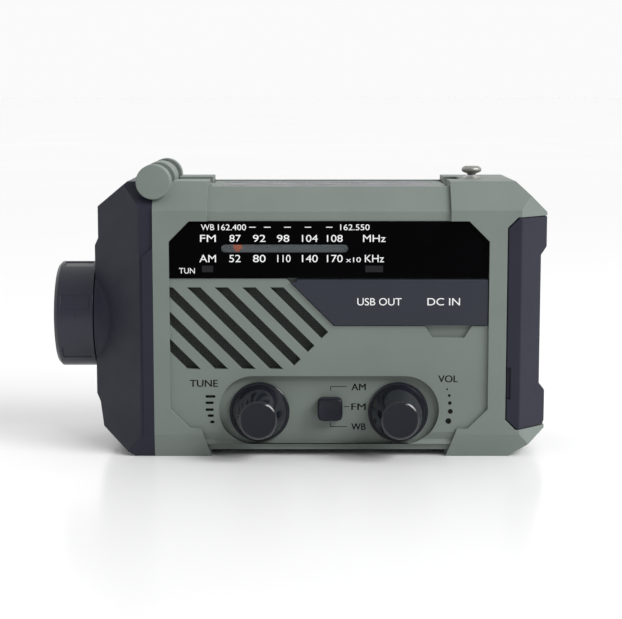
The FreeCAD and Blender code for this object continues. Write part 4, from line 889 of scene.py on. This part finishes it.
    def controls(self) -> None:
        """Print the names and signs of the knobs and the band switch."""
        panel, floor = self.layout.panel, self.layout.recess
        marks = (self.bold("TUNE", -45.6, -36.4, 23.2, 25.5, panel)
                 + self.bold("VOL", 35.8, 42.3, 24.7, 27.0, panel))
        half, inset = 0.42, 0.3
        for left, right, up in ((-40.5, -37.2, 20.0), (-40.5, -37.8, 17.9), (-40.5, -37.8, 15.6),
                                (-39.8, -37.8, 13.6), (-39.0, -37.6, 11.5)):
            marks.append(self.bar(left + inset, right - inset, up - half, up + half, panel))
            marks.extend(self.dot(end, up, half, panel) for end in (left + half, right - half))
        for across, up, radius in ((38.8, 22.4, 0.3), (39.5, 20.3, 0.45), (39.7, 17.8, 0.6),
                                   (39.9, 15.0, 0.8), (39.3, 11.8, 0.95)):
            marks.append(self.dot(across, up, radius, panel))
        left, wide, rise = 7.4, 4.8, 1.1
        for text, up in (("AM", 22.7), ("FM", 16.1), ("WB", 9.4)):
            marks.extend(self.bold(text, left, left + wide, up - rise, up + rise, floor))
        marks.extend((self.bar(0.6, 5.9, 22.75, 22.95, floor), self.bar(0.5, 0.7, 21.5, 22.95, floor),
                      self.bar(5.0, 6.8, 16.05, 16.25, floor),
                      self.bar(0.6, 5.9, 9.35, 9.55, floor), self.bar(0.5, 0.7, 9.35, 10.8, floor)))
        self.join("control_names", marks, Surface.BLACK_INK, "front_shell")

    def cover(self) -> None:
        """Print what each connector under the cover is for."""
        face = self.layout.cover
        marks = [self.words("USB OUT", 9.2, 23.6, 50.2, 52.6, face),
                 self.words("DC IN", 32.0, 42.6, 50.2, 52.6, face)]
        # The white names carry a slight painted glow.
        self.join("cover_names", marks, Surface.WHITE_INK_PAINTED_GLOW, "port_cover")


# ---------------------------------------------------------------- sub-assemblies

@dataclass
class Mouldings:
    """The housing's mouldings and every other plastic piece that only needs soft edges.

    Attributes:
        layout: Main places.
        shell_edge: Rounding of the grey halves in millimetres.
        end_edge: Rounding of the dark ends in millimetres.
        fine: Share of the rounding round the grille's slots and the connector bay.
        fine_reach: How far from the middle that share reaches, in millimetres.
        fine_span: Lowest and highest place where it holds.
        fine_deep: How far behind the front it holds.
        foot_crease: Height in millimetres where the front turns under.
        foot_out: How far the feet stand out from the CAD's slope at the floor, in millimetres.
        foot_gap: Half the gap between the feet in millimetres.
        foot_lean: How far the feet's inner edges lean outwards for each unit of height.
        foot_out_by: How far they start outside the CAD's, in millimetres.
        foot_high: Height of the feet's inner edges in millimetres.
        inner_half: Parts this near the parting face, in millimetres, stay as they are.
        barrel_start: Inner end of each hinge barrel from the middle, in millimetres.
        barrel_end: Its outer end.
        barrel_radius: Its radius.
        barrel_corner: Rounding of its rim.
    """

    NEAR: ClassVar[float] = 0.06 * MM
    NEAR_RECESS: ClassVar[float] = 0.2 * MM

    layout: Layout
    shell_edge: float = 0.6
    end_edge: float = 0.8
    fine: float = 0.75
    fine_reach: float = 52.2
    fine_span: Point = (28.0, 58.8)
    fine_deep: float = 6.0
    foot_crease: float = 7.5
    foot_out: float = 5.4
    foot_gap: float = 38.0
    foot_lean: float = 0.37
    foot_out_by: float = 0.5
    foot_high: float = 9.7
    inner_half: float = 18.0
    barrel_start: float = 22.0
    barrel_end: float = 28.4
    barrel_radius: float = 5.6
    barrel_corner: float = 0.4

    def shell_share(self, place: Vector) -> float:
        """Share of the shell's rounding at a place; the middle panel's edges are finer.

        Args:
            place: Middle of an edge in metres.

        Returns:
            The share.
        """
        across, up = abs(place.x - self.layout.middle) / MM, place.z / MM
        low, high = self.fine_span
        inside = across < self.fine_reach and low < up < high
        return self.fine if inside and place.y < self.layout.front + self.fine_deep * MM else 1.0

    def upright_foot(self, place: Vector) -> Vector:
        """Stand the faces under the crease more upright, and lean the feet's inner edges outwards.

        Args:
            place: Point of the CAD shape in metres.

        Returns:
            The moved point.
        """
        outward = -1.0 if place.y < self.layout.back_half else 1.0
        below = max(0.0, 1.0 - place.z / (self.foot_crease * MM))
        across = place.x - self.layout.middle
        if abs(abs(across) - self.foot_gap * MM) < self.NEAR and place.z < self.foot_high * MM:
            reach = self.foot_gap * MM + self.foot_out_by * MM + place.z * self.foot_lean
            place = place + Vector((math.copysign(reach, across) - across, 0, 0))
        inner = abs(place.y - self.layout.back_half) < self.inner_half * MM
        if inner or abs(place.y - self.layout.recess) < self.NEAR_RECESS:
            return place
        return place + Vector((0, outward * below * self.foot_out * MM, 0))

    def barrels(self) -> None:
        """Close both ends of the hinge with full round barrels that stand proud of the slopes."""
        low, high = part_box("hinge_pin")
        across, up = (low.x + high.x) / 2, (low.z + high.z) / 2
        middle = (low.y + high.y) / 2
        for name, side in (("front", -1), ("rear", 1)):
            profile = rounded([(self.barrel_start, 0.0), (self.barrel_start, self.barrel_radius),
                               (self.barrel_end, self.barrel_radius), (self.barrel_end, 0.0)],
                              self.barrel_corner)
            shape = lathe(profile, Vector((across, middle, up)), Vector((0, side, 0)))
            barrel = piece_from(f"hinge_barrel_{name}", shape, Surface.GREY, 50)
            beside(barrel, f"{name}_shell")

    def build(self) -> None:
        """Soften each moulding."""
        softened("front_shell", Surface.GREY, self.shell_edge, share=self.shell_share,
                 moved=self.upright_foot)
        softened("rear_shell", Surface.GREY, self.shell_edge, moved=self.upright_foot)
        softened("left_end_cap", Surface.DARK, self.end_edge, moved=self.upright_foot)
        softened("battery_cover", Surface.DARK, self.end_edge)
        self.barrels()
        softened("port_cover", Surface.COVER, 0.25)
        softened("lamp_flap", Surface.GREY, 0.5)
        softened("dial_window", Surface.WINDOW, 0.15, 2)
        softened("crank_arm", Surface.DARK, 0.4)
        for node in ("torch_button", "sos_button"):
            softened(node, Surface.DARK, 0.5)


@dataclass
class Knobs:
    """The two control knobs, each a thin skirt, a glossy cone and a flat face, and the dished band slider.

    Attributes:
        skirt: Height of the skirt in millimetres.
        edge: Rounding of the face in millimetres.
        bore: Radius of the hole for the shaft in millimetres.
        face_share: Radius of the face as a share of the skirt's.
        dish: Depth of the slider's dish in millimetres.
        slider_thick: Thickness of the slider's block in millimetres.
        slider_square: Power that squares the slider's outline, two for a circle.
    """

    skirt: float = 1.4
    edge: float = 0.6
    bore: float = 3.06
    face_share: float = 0.625
    dish: float = 1.1
    slider_thick: float = 4.0
    slider_square: float = 5.0

    def knob(self, name: str) -> None:
        """Turn one knob.

        Args:
            name: First word of its node's name.
        """
        low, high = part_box(f"{name}_knob")
        centre = Vector(((low.x + high.x) / 2, high.y, (low.z + high.z) / 2))
        base = (high.x - low.x) / 2 / MM
        length = (high.y - low.y) / MM
        face, skirt, edge = base * self.face_share, self.skirt, self.edge
        hole = [(length / 2, 0.0), (length / 2, self.bore), (0.0, self.bore)]
        foot = [(0.0, base - 0.15), (0.15, base), (skirt - 0.2, base), (skirt, base - 0.2),
                (skirt, base - 0.75)]
        cone = [(skirt + 0.3, base - 0.95), (skirt + 3.0, base - 1.45), (skirt + 3.25, base - 1.62),
                (length - edge, face + 0.12), (length - edge * 0.45, face - edge * 0.12)]
        cap = [(length, face - edge), (length - 0.08, face - edge - 0.5), (length - 0.12, 0.0)]
        profile = hole + foot + cone + cap
        knob = piece_from(f"{name}_knob_turned", lathe(profile, centre, Vector((0, -1, 0))), Surface.KNOB, 35)
        knob.data.materials.append(finish_of(Surface.KNOB_SIDE))
        for polygon in knob.data.polygons:
            polygon.material_index = 0 if polygon.normal.y < -0.93 else 1
        stand_in(knob, f"{name}_knob")

    def slider(self) -> None:
        """Shape the band slider: a rounded square whose face is hollowed, on its stem."""
        low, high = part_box("band_slider")
        centre = (low + high) / 2
        half_wide, half_high = (high.x - low.x) / 2, (high.z - low.z) / 2
        floor, stem = low.y + self.slider_thick * MM, 1.0 * MM
        steps, rings = 64, 10
        shape = bmesh.new()

        def outline(share: float, depth: Callable[[float, float], float]) -> list[bmesh.types.BMVert]:
            """Ring of points on the rounded square.

            Args:
                share: Size of the ring as a share of the slider's.
                depth: Y in metres for a place across and up from the middle.

            Returns:
                The points.
            """
            ring = []
            for step in range(steps):
                angle = 2 * math.pi * step / steps
                power = 2 / self.slider_square
                across = math.copysign(abs(math.cos(angle)) ** power, math.cos(angle)) * half_wide * share
                up = math.copysign(abs(math.sin(angle)) ** power, math.sin(angle)) * half_high * share
                ring.append(shape.verts.new((centre.x + across, depth(across, up), centre.z + up)))
            return ring

        def hollow(across: float, up: float) -> float:
            """Depth of the hollowed face at a place."""
            reach = min(1.0, math.hypot(across / half_wide, up / half_high))
            return low.y + self.dish * MM * (1 - reach ** 2) * (0.75 + 0.35 * up / half_high)

        loops = [outline(1.0, lambda across, up: floor), outline(1.0, lambda across, up: low.y + 0.7 * MM),
                 outline(0.97, lambda across, up: low.y + 0.25 * MM), outline(0.91, lambda across, up: low.y)]
        loops += [outline(0.88 * (1 - number / rings), hollow) for number in range(rings)]
        for first, second in zip(loops, loops[1:]):
            for step in range(steps):
                following = (step + 1) % steps
                shape.faces.new((first[step], first[following], second[following], second[step]))
        shape.faces.new(loops[0])
        shape.faces.new(loops[-1])
        block = bmesh.ops.create_cube(shape, size=1)["verts"]
        deep = high.y - floor + 0.5 * MM
        size = Matrix.Diagonal((2 * stem, deep, 2 * stem, 1))
        bmesh.ops.transform(shape, matrix=Matrix.Translation((centre.x, high.y - deep / 2, centre.z)) @ size,
                            verts=block)
        slider = piece_from("band_slider_dished", shape, Surface.KNOB, 50)
        stand_in(slider, "band_slider")

    def build(self) -> None:
        """Make both knobs and the slider."""
        for name in ("tune", "volume"):
            self.knob(name)
        self.slider()


class Repeater:
    """A Geometry Nodes tree that sets a shape on the points of a grid."""

    SIZES = (("Count", "NodeSocketInt"), ("Columns", "NodeSocketInt"), ("Pitch", "NodeSocketFloat"),
             ("Row pitch", "NodeSocketFloat"), ("Place", "NodeSocketVector"), ("Turn", "NodeSocketVector"))

    def __init__(self, name: str, surface: Surface) -> None:
        """Build the tree.

        Args:
            name: Name of the tree.
            surface: Finish of what it makes.
        """
        self.tree = bpy.data.node_groups.new(name, "GeometryNodeTree")
        face = self.tree.interface
        face.new_socket(name="Shape", in_out="INPUT", socket_type="NodeSocketGeometry")
        face.new_socket(name="Result", in_out="OUTPUT", socket_type="NodeSocketGeometry")
        self.names = {title: face.new_socket(name=title, in_out="INPUT", socket_type=kind).identifier
                      for title, kind in self.SIZES}
        inlet, outlet = self.node("NodeGroupInput"), self.node("NodeGroupOutput")
        index = self.node("GeometryNodeInputIndex").outputs[0]
        column = self.maths("MODULO", index, inlet.outputs["Columns"])
        row = self.maths("FLOOR", self.maths("DIVIDE", index, inlet.outputs["Columns"]))
        place = self.node("ShaderNodeCombineXYZ")
        self.link(self.maths("MULTIPLY", column, inlet.outputs["Pitch"]), place.inputs["X"])
        self.link(self.maths("MULTIPLY", row, inlet.outputs["Row pitch"]), place.inputs["Y"])
        points = self.node("GeometryNodePoints")
        self.link(inlet.outputs["Count"], points.inputs["Count"])
        self.link(place.outputs[0], points.inputs["Position"])
        copies = self.node("GeometryNodeInstanceOnPoints")
        self.link(points.outputs[0], copies.inputs["Points"])
        self.link(inlet.outputs["Shape"], copies.inputs["Instance"])
        real = self.node("GeometryNodeRealizeInstances")
        self.link(copies.outputs[0], real.inputs[0])
        moved = self.node("GeometryNodeTransform")
        self.link(real.outputs[0], moved.inputs["Geometry"])
        self.link(inlet.outputs["Place"], moved.inputs["Translation"])
        self.link(inlet.outputs["Turn"], moved.inputs["Rotation"])
        finish = self.node("GeometryNodeSetMaterial")
        finish.inputs["Material"].default_value = finish_of(surface)
        self.link(moved.outputs[0], finish.inputs["Geometry"])
        self.link(finish.outputs[0], outlet.inputs[0])

    def node(self, kind: str) -> bpy.types.Node:
        """Add a node of a kind."""
        return self.tree.nodes.new(kind)

    def link(self, source: bpy.types.NodeSocket, target: bpy.types.NodeSocket) -> None:
        """Join two sockets."""
        self.tree.links.new(source, target)

    def maths(self, operation: str, *values: bpy.types.NodeSocket) -> bpy.types.NodeSocket:
        """Add a sum.

        Args:
            operation: Name of the sum.
            values: Its inputs.

        Returns:
            Its output.
        """
        step = self.tree.nodes.new("ShaderNodeMath")
        step.operation = operation
        for number, value in enumerate(values):
            self.link(value, step.inputs[number])
        return step.outputs[0]

    def repeat(self, item: bpy.types.Object, count: int, columns: int, pitch: float, row_pitch: float,
               place: Vector, turn: Vector = Vector((0, 0, 0))) -> None:
        """Repeat an object's shape and make the result its mesh.

        Args:
            item: The object, shaped about its own middle.
            count: Number of copies.
            columns: Copies in a row.
            pitch: Spacing in a row in millimetres.
            row_pitch: Spacing of the rows in millimetres.
            place: Place of the first copy in metres.
            turn: Turn of the whole in radians.
        """
        nodes = item.modifiers.new("Repeat", "NODES")
        nodes.node_group = self.tree
        sizes = {"Count": count, "Columns": columns, "Pitch": pitch * MM, "Row pitch": row_pitch * MM,
                 "Place": tuple(place), "Turn": tuple(turn)}
        for title, size in sizes.items():
            nodes[self.names[title]] = size
        settle(item)


@dataclass
class Rows:
    """What repeats: housing screws, grip rings, wires of the solar cells and lights of the lamp.

    Attributes:
        head: Radius of a screw's head in millimetres.
        head_high: Height of the head.
        shaft: Radius of the screw's shaft.
        arm: Reach of the cross in the head.
        slot: Half the width of its arms.
        sunk: Depth of the cross.
        taper: Size of the cross at its bottom as a share of its size at the top.
        facets: Facets round a screw.
        rings: Number of rings on the crank's grip.
        ring_wide: Width of a ring in millimetres.
        ring_proud: How far it stands out.
        ring_inset: Distance of the outer rings from the grip's ends.
        wires: Number of thin wires across the solar panel.
        wire_wide: Width of a thin wire in millimetres.
        bar_wide: Width of a broad one.
        wire_thick: Thickness of both.
        wire_inset: Distance of their ends from the panel's edges.
        lights: Number of lights in each of the lamp's two rows.
        light_side: Side of a light in millimetres.
        light_thick: Its thickness.
        strip_depth: Y of the strip behind the scale's slot in millimetres.
        strip_lap: How much longer and higher than the slot it is.
    """

    head: float = 2.7
    head_high: float = 2.0
    shaft: float = 1.2
    arm: float = 1.5
    slot: float = 0.36
    sunk: float = 1.0
    taper: float = 0.8
    facets: int = 48
    rings: int = 7
    ring_wide: float = 1.1
    ring_proud: float = 0.22
    ring_inset: float = 1.5
    wires: int = 19
    wire_wide: float = 0.14
    bar_wide: float = 0.5
    wire_thick: float = 0.05
    wire_inset: float = 1.2
    lights: int = 8
    light_side: float = 2.8
    light_thick: float = 0.9
    strip_depth: float = -14.3
    strip_lap: float = 3.0

    def screw(self, length: float) -> bmesh.types.BMesh:
        """One screw on the Z axis with its seat at zero and a cross sunk in its head.

        Args:
            length: Length of its shaft in millimetres.

        Returns:
            The mesh.
        """
        shape = bmesh.new()
        profile = [(-length, 0.5), (1.2 - length, self.shaft), (0.0, self.shaft), (0.0, self.head),
                   (0.9, self.head), (1.5, self.head - 0.2), (self.head_high, self.head - 0.7)]
        facets, turn = self.facets, 2 * math.pi / self.facets
        loops = [[shape.verts.new((reach * math.cos(turn * step) * MM, reach * math.sin(turn * step) * MM,
                                   height * MM)) for step in range(facets)] for height, reach in profile]
        for first, second in zip(loops, loops[1:]):
            for step in range(facets):
                following = (step + 1) % facets
                shape.faces.new((first[step], first[following], second[following], second[step]))
        shape.faces.new(loops[0])
        arm, slot = self.arm, self.slot
        corners = [(arm, slot), (slot, slot), (slot, arm), (-slot, arm), (-slot, slot), (-arm, slot),
                   (-arm, -slot), (-slot, -slot), (-slot, -arm), (slot, -arm), (slot, -slot), (arm, -slot)]
        levels = ((1.0, self.head_high), (self.taper, self.head_high - self.sunk))
        upper, lower = ([shape.verts.new((across * MM * share, up * MM * share, height * MM))
                         for across, up in corners] for share, height in levels)
        count = len(corners)
        rim = [shape.edges.new((upper[step], upper[(step + 1) % count])) for step in range(count)]
        last = loops[-1]
        rim += [shape.edges.get((last[step], last[(step + 1) % facets])) for step in range(facets)]
        bmesh.ops.triangle_fill(shape, use_beauty=True, use_dissolve=False, edges=rim)
        for step in range(count):
            following = (step + 1) % count
            shape.faces.new((upper[step], upper[following], lower[following], lower[step]))
        shape.faces.new(lower)
        return shape

    def block(self, across: float, along: float, high: float, edge: float) -> bmesh.types.BMesh:
        """A flat block about its own middle with softened edges.

        Args:
            across: Size along X in millimetres.
            along: Size along Y in millimetres.
            high: Size along Z in millimetres.
            edge: Rounding of its edges in millimetres.

        Returns:
            The mesh.
        """
        shape = bmesh.new()
        bmesh.ops.create_cube(shape, size=1)
        size = Matrix.Diagonal((across * MM, along * MM, high * MM, 1))
        bmesh.ops.transform(shape, matrix=size, verts=shape.verts)
        bmesh.ops.bevel(shape, geom=shape.edges[:], offset=edge * MM, segments=2, profile=0.5, affect="EDGES")
        return shape

    def screws(self) -> None:
        """Set the four screws of the housing from behind."""
        low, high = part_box("housing_screws")
        seat = high.y - self.head_high * MM
        item = piece_from("cross_head_screws", self.screw((seat - low.y) / MM), Surface.STEEL, 30)
        reach = self.head * MM
        Repeater("screw_rows", Surface.STEEL).repeat(
            item, 4, 2, (high.x - low.x) / MM - 2 * self.head, (high.z - low.z) / MM - 2 * self.head,
            Vector((low.x + reach, seat, high.z - reach)), Vector((-math.pi / 2, 0, 0)))
        stand_in(item, "housing_screws")

    def grip(self) -> None:
        """Ring the crank's grip."""
        low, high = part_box("crank_grip")
        radius = (high.y - low.y) / 2 / MM + self.ring_proud
        half, inset = self.ring_wide / 2, self.ring_inset
        profile = rounded([(-half, 0.0), (-half, radius), (half, radius), (half, 0.0)], 0.2)
        ring = lathe(profile, Vector((0, 0, 0)), Vector((1, 0, 0)), self.facets)
        item = piece_from("grip_rings", ring, Surface.BLACK, 50)
        spacing = ((high.x - low.x) / MM - 2 * inset) / (self.rings - 1)
        Repeater("ring_row", Surface.BLACK).repeat(
            item, self.rings, self.rings, spacing, 0.0,
            Vector((low.x + inset * MM, (low.y + high.y) / 2, (low.z + high.z) / 2)))
        beside(item, "crank_grip")

    def wired(self) -> None:
        """Lay the thin wires and the two broad ones on the solar panel."""
        low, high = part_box("solar_panel")
        long, deep = (high.x - low.x) / MM, (high.y - low.y) / MM
        ends, thick, corner, outer = 2 * self.wire_inset, self.wire_thick, 0.01, 1.8
        wire = self.block(self.wire_wide, deep - ends, thick, corner)
        thin = piece_from("cell_wires", wire, Surface.WIRE, 30)
        Repeater("wire_row", Surface.WIRE).repeat(
            thin, self.wires, self.wires, (long - 2 * outer) / (self.wires - 1), 0.0,
            Vector((low.x + outer * MM, (low.y + high.y) / 2, high.z)))
        beside(thin, "solar_panel")
        bar = self.block(long - ends, self.bar_wide, thick, corner)
        broad = piece_from("cell_bars", bar, Surface.WIRE, 30)
        Repeater("bar_row", Surface.WIRE).repeat(
            broad, 2, 1, 0.0, deep / 2,
            Vector(((low.x + high.x) / 2, low.y + deep / 4 * MM, high.z + 0.01 * MM)))
        beside(broad, "solar_panel")

    def lamp(self) -> None:
        """Set the lights under the lamp's board."""
        low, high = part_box("lamp_board")
        side, thick, from_end, from_side = self.light_side, self.light_thick, 4.0, 3.5
        item = piece_from("lamp_lights", self.block(side, side, thick, 0.2), Surface.LED, 40)
        spacing = ((high.x - low.x) / MM - 2 * from_end) / (self.lights - 1)
        Repeater("light_rows", Surface.LED).repeat(
            item, 2 * self.lights, self.lights, spacing, (high.y - low.y) / MM - 2 * from_side,
            Vector((low.x + from_end * MM, low.y + from_side * MM, low.z - 0.4 * MM)))
        beside(item, "lamp_board")

    def strip(self) -> None:
        """Fit the pale strip that shows through the scale's slot; it gives off a painted glow, with no lamp
        behind it.
        """
        low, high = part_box("scale_lens")
        lap = self.strip_lap
        shape = self.block((high.x - low.x) / MM + lap, (high.z - low.z) / MM + lap, 0.4, 0.1)
        turned = Matrix.Translation(((low.x + high.x) / 2, self.strip_depth * MM, (low.z + high.z) / 2))
        bmesh.ops.transform(shape, matrix=turned @ Matrix.Rotation(math.pi / 2, 4, "X"), verts=shape.verts)
        beside(piece_from("scale_strip_painted_glow", shape, Surface.STRIP, 40), "dial_window")

    def build(self) -> None:
        """Make every row."""
        self.screws()
        self.grip()
        self.wired()
        self.lamp()
        self.strip()


@dataclass
class Torch:
    """Torch head and its lens.

    Attributes:
        head_edge: Rounding of the head's edges in millimetres.
        lens_edge: Chamfer of the lens's inner edge in millimetres.
    """

    head_edge: float = 0.4
    lens_edge: float = 0.2

    def build(self) -> None:
        """Make the visible torch pieces."""
        softened("torch_head", Surface.TORCH, self.head_edge)
        low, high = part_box("torch_lens")
        centre = Vector((low.x, (low.y + high.y) / 2, (low.z + high.z) / 2))
        radius = (high.y - low.y) / 2 / MM
        thick = (high.x - low.x) / MM
        edge = self.lens_edge
        lens = lathe([(0.0, 0.0), (0.0, radius - edge), (edge, radius), (thick, radius), (thick, 0.0)],
                     centre, Vector((1, 0, 0)))
        stand_in(piece_from("torch_lens_turned", lens, Surface.LENS), "torch_lens")


@dataclass
class Antenna:
    """Button on top of the telescopic antenna.

    Attributes:
        neck: Radius of its neck in millimetres.
        corner: Rounding of its edges in millimetres.
    """

    neck: float = 1.3
    corner: float = 0.3

    def build(self) -> None:
        """Turn the button on top of the innermost section."""
        low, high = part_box("antenna_tip")
        centre = Vector(((low.x + high.x) / 2, (low.y + high.y) / 2, low.z))
        wide, tall = (high.x - low.x) / 2 / MM, (high.z - low.z) / MM
        profile = rounded([(0.0, 0.0), (0.0, self.neck), (tall * 0.16, 1.6), (tall * 0.34, wide * 0.86),
                           (tall * 0.46, wide), (tall * 0.74, wide), (tall, wide * 0.72), (tall, 0.0)],
                          self.corner)
        button = lathe(profile, centre, Vector((0, 0, 1)), 64)
        stand_in(piece_from("antenna_button", button, Surface.BUTTON, 50), "antenna_tip")


@dataclass
class Interior:
    """Finishes of the nodes whose CAD shape is kept."""

    def build(self) -> None:
        """Give each remaining node its finish."""
        finishes = {
            Surface.STEEL: ("dial_rail", "speaker_basket", "speaker_magnet", "tune_shaft", "volume_shaft",
                            "usb_socket", "dc_socket", "gearbox_plate", "generator_case", "idler_arbor",
                            "crank_shaft", "grip_pin", "hinge_pin", "battery_contacts", "grip_stem"),
            Surface.CHROME: tuple(f"antenna_section_{number}" for number in range(1, 5)),
            Surface.MIRROR: ("torch_reflector",),
            Surface.BRASS: ("antenna_tube",),
            Surface.CLOTH: ("speaker_mesh",),
            Surface.BLACK: ("band_switch", "tune_pot", "volume_pot", "crank_grip"),
            Surface.PALE: ("drive_gear", "idler_pinion", "idler_wheel", "rotor_pinion"),
            Surface.BOARD: ("button_switches", "main_board", "torch_led_board", "lamp_board"),
            Surface.CELL: ("battery_cell", "spare_cells"),
            Surface.CONE: ("speaker_cone",),
            # The dial pointer's finish gives off a painted glow.
            Surface.POINTER: ("dial_pointer",),
            Surface.LIGHT_PIPE: ("indicator_lights",),
            Surface.SMOKE: ("scale_lens",),
            Surface.PANEL: ("solar_panel",),
            Surface.DIFFUSER: ("lamp_diffuser",),
        }
        for surface, nodes in finishes.items():
            for node in nodes:
                mesh = frame["nodes"][node].data
                mesh.materials.clear()
                mesh.materials.append(finish_of(surface))
                LOG.info("%s keeps its shape", node)


# ---------------------------------------------------------------- studio

@dataclass
class Studio:
    """White floor, soft lights and the camera in front of the radio.

    Attributes:
        layout: Main places.
        distance: Camera's distance from the front face in millimetres.
        leftward: Its distance left of the housing's middle in millimetres.
        height: Camera's height in millimetres.
        pitch: Camera's downward tilt in degrees.
        lens: Focal length in millimetres on a 36 mm sensor.
        behind: Brightness of the studio behind the radio.
        before: Brightness of the studio in front of it.
        floor_radius: Radius of the floor in metres.
        broad_power: Power of the broad light.
        broad_spread: Angle in degrees that it fills, which softens its shadows.
        glint_power: Power of the light whose reflection shows on the knobs.
        glint_size: Its width and height in metres.
        near_power: Power of the near light.
        near_size: Its diameter in metres.
    """

    layout: Layout
    distance: float = 545.0
    leftward: float = 5.87
    height: float = 119.7
    pitch: float = 7.4
    lens: float = 97.8
    behind: float = 0.96
    before: float = 0.42
    floor_radius: float = 30.0
    broad_power: float = 1.7
    broad_spread: float = 35.0
    glint_power: float = 1.6
    glint_size: Point = (0.10, 0.16)
    near_power: float = 1.5
    near_size: float = 0.35

    def camera(self) -> None:
        """Place the camera."""
        data = bpy.data.cameras.new("camera")
        data.lens = self.lens
        data.sensor_width = 36.0
        data.clip_start = 0.01
        item = bpy.data.objects.new("camera", data)
        item.location = (self.layout.middle - self.leftward * MM, self.layout.front - self.distance * MM,
                         self.height * MM)
        item.rotation_euler = (math.radians(90 - self.pitch), 0, 0)
        bpy.context.scene.collection.objects.link(item)
        bpy.context.scene.camera = item

    def floor(self) -> None:
        """Lay the wide white floor."""
        shape = bmesh.new()
        bmesh.ops.create_circle(shape, cap_ends=True, segments=96, radius=self.floor_radius)
        mesh = bpy.data.meshes.new("floor")
        shape.to_mesh(mesh)
        shape.free()
        graph = ShaderGraph("floor_white")
        graph.link(graph.blend(graph.span(graph.noise(400, 2), 0, 1), (0.86, 0.86, 0.86), (0.88, 0.88, 0.88)),
                   graph.shader.inputs["Base Color"])
        graph.shader.inputs["Roughness"].default_value = 0.22
        graph.shader.inputs["Specular IOR Level"].default_value = 0.3
        mesh.materials.append(graph.material)
        item = bpy.data.objects.new("floor", mesh)
        bpy.context.scene.collection.objects.link(item)

    def surroundings(self) -> None:
        """Surround the studio with white that is dimmer in front of the radio."""
        world = bpy.data.worlds.new("studio")
        world.use_nodes = True
        tree = world.node_tree
        toward = tree.nodes.new("ShaderNodeTexCoord").outputs["Generated"]
        split = tree.nodes.new("ShaderNodeSeparateXYZ")
        fade = tree.nodes.new("ShaderNodeMapRange")
        fade.interpolation_type = "SMOOTHSTEP"
        fade.inputs["From Min"].default_value = -0.7
        fade.inputs["From Max"].default_value = 0.25
        fade.inputs["To Min"].default_value = self.before
        fade.inputs["To Max"].default_value = self.behind
        tree.links.new(toward, split.inputs["Vector"])
        tree.links.new(split.outputs["Y"], fade.inputs["Value"])
        background = tree.nodes["Background"]
        background.inputs["Color"].default_value = (1, 1, 1, 1)
        tree.links.new(fade.outputs["Result"], background.inputs["Strength"])
        bpy.context.scene.world = world
        bpy.context.scene.view_settings.view_transform = "Standard"

    def lights(self) -> None:
        """Hang the broad light at the upper right, a near one, and one that gives the knobs their glint."""
        aim = Vector((0, 0, 0.03))
        broad = bpy.data.lights.new("broad_light", "SUN")
        broad.energy = self.broad_power
        broad.angle = math.radians(self.broad_spread)
        glint = bpy.data.lights.new("glint_light", "AREA")
        glint.shape = "RECTANGLE"
        glint.size, glint.size_y = self.glint_size
        glint.energy = self.glint_power
        near = bpy.data.lights.new("near_light", "AREA")
        near.shape = "DISK"
        near.size = self.near_size
        near.energy = self.near_power
        for data, place in ((broad, (0.75, -0.40, 0.62)), (glint, (0.42, -0.75, 0.62)),
                            (near, (0.50, -0.30, 0.50))):
            item = bpy.data.objects.new(data.name, data)
            item.location = place
            item.rotation_euler = (aim - Vector(place)).to_track_quat("-Z", "Y").to_euler()
            bpy.context.scene.collection.objects.link(item)

    def build(self) -> None:
        """Set up the whole studio."""
        self.camera()
        self.floor()
        self.surroundings()
        self.lights()


def main() -> None:
    """Build the radio's looks in order."""
    logging.basicConfig(level=logging.INFO, format="%(message)s")
    layout = Layout.read()
    Studio(layout).build()
    for assembly in (Interior(), Mouldings(layout), Knobs(), Rows(), Torch(), Antenna()):
        LOG.info("building %s", type(assembly).__name__)
        assembly.build()
    lettering = Lettering(layout)
    lettering.dial()
    lettering.controls()
    lettering.cover()


if __name__ == "__main__":
    main()
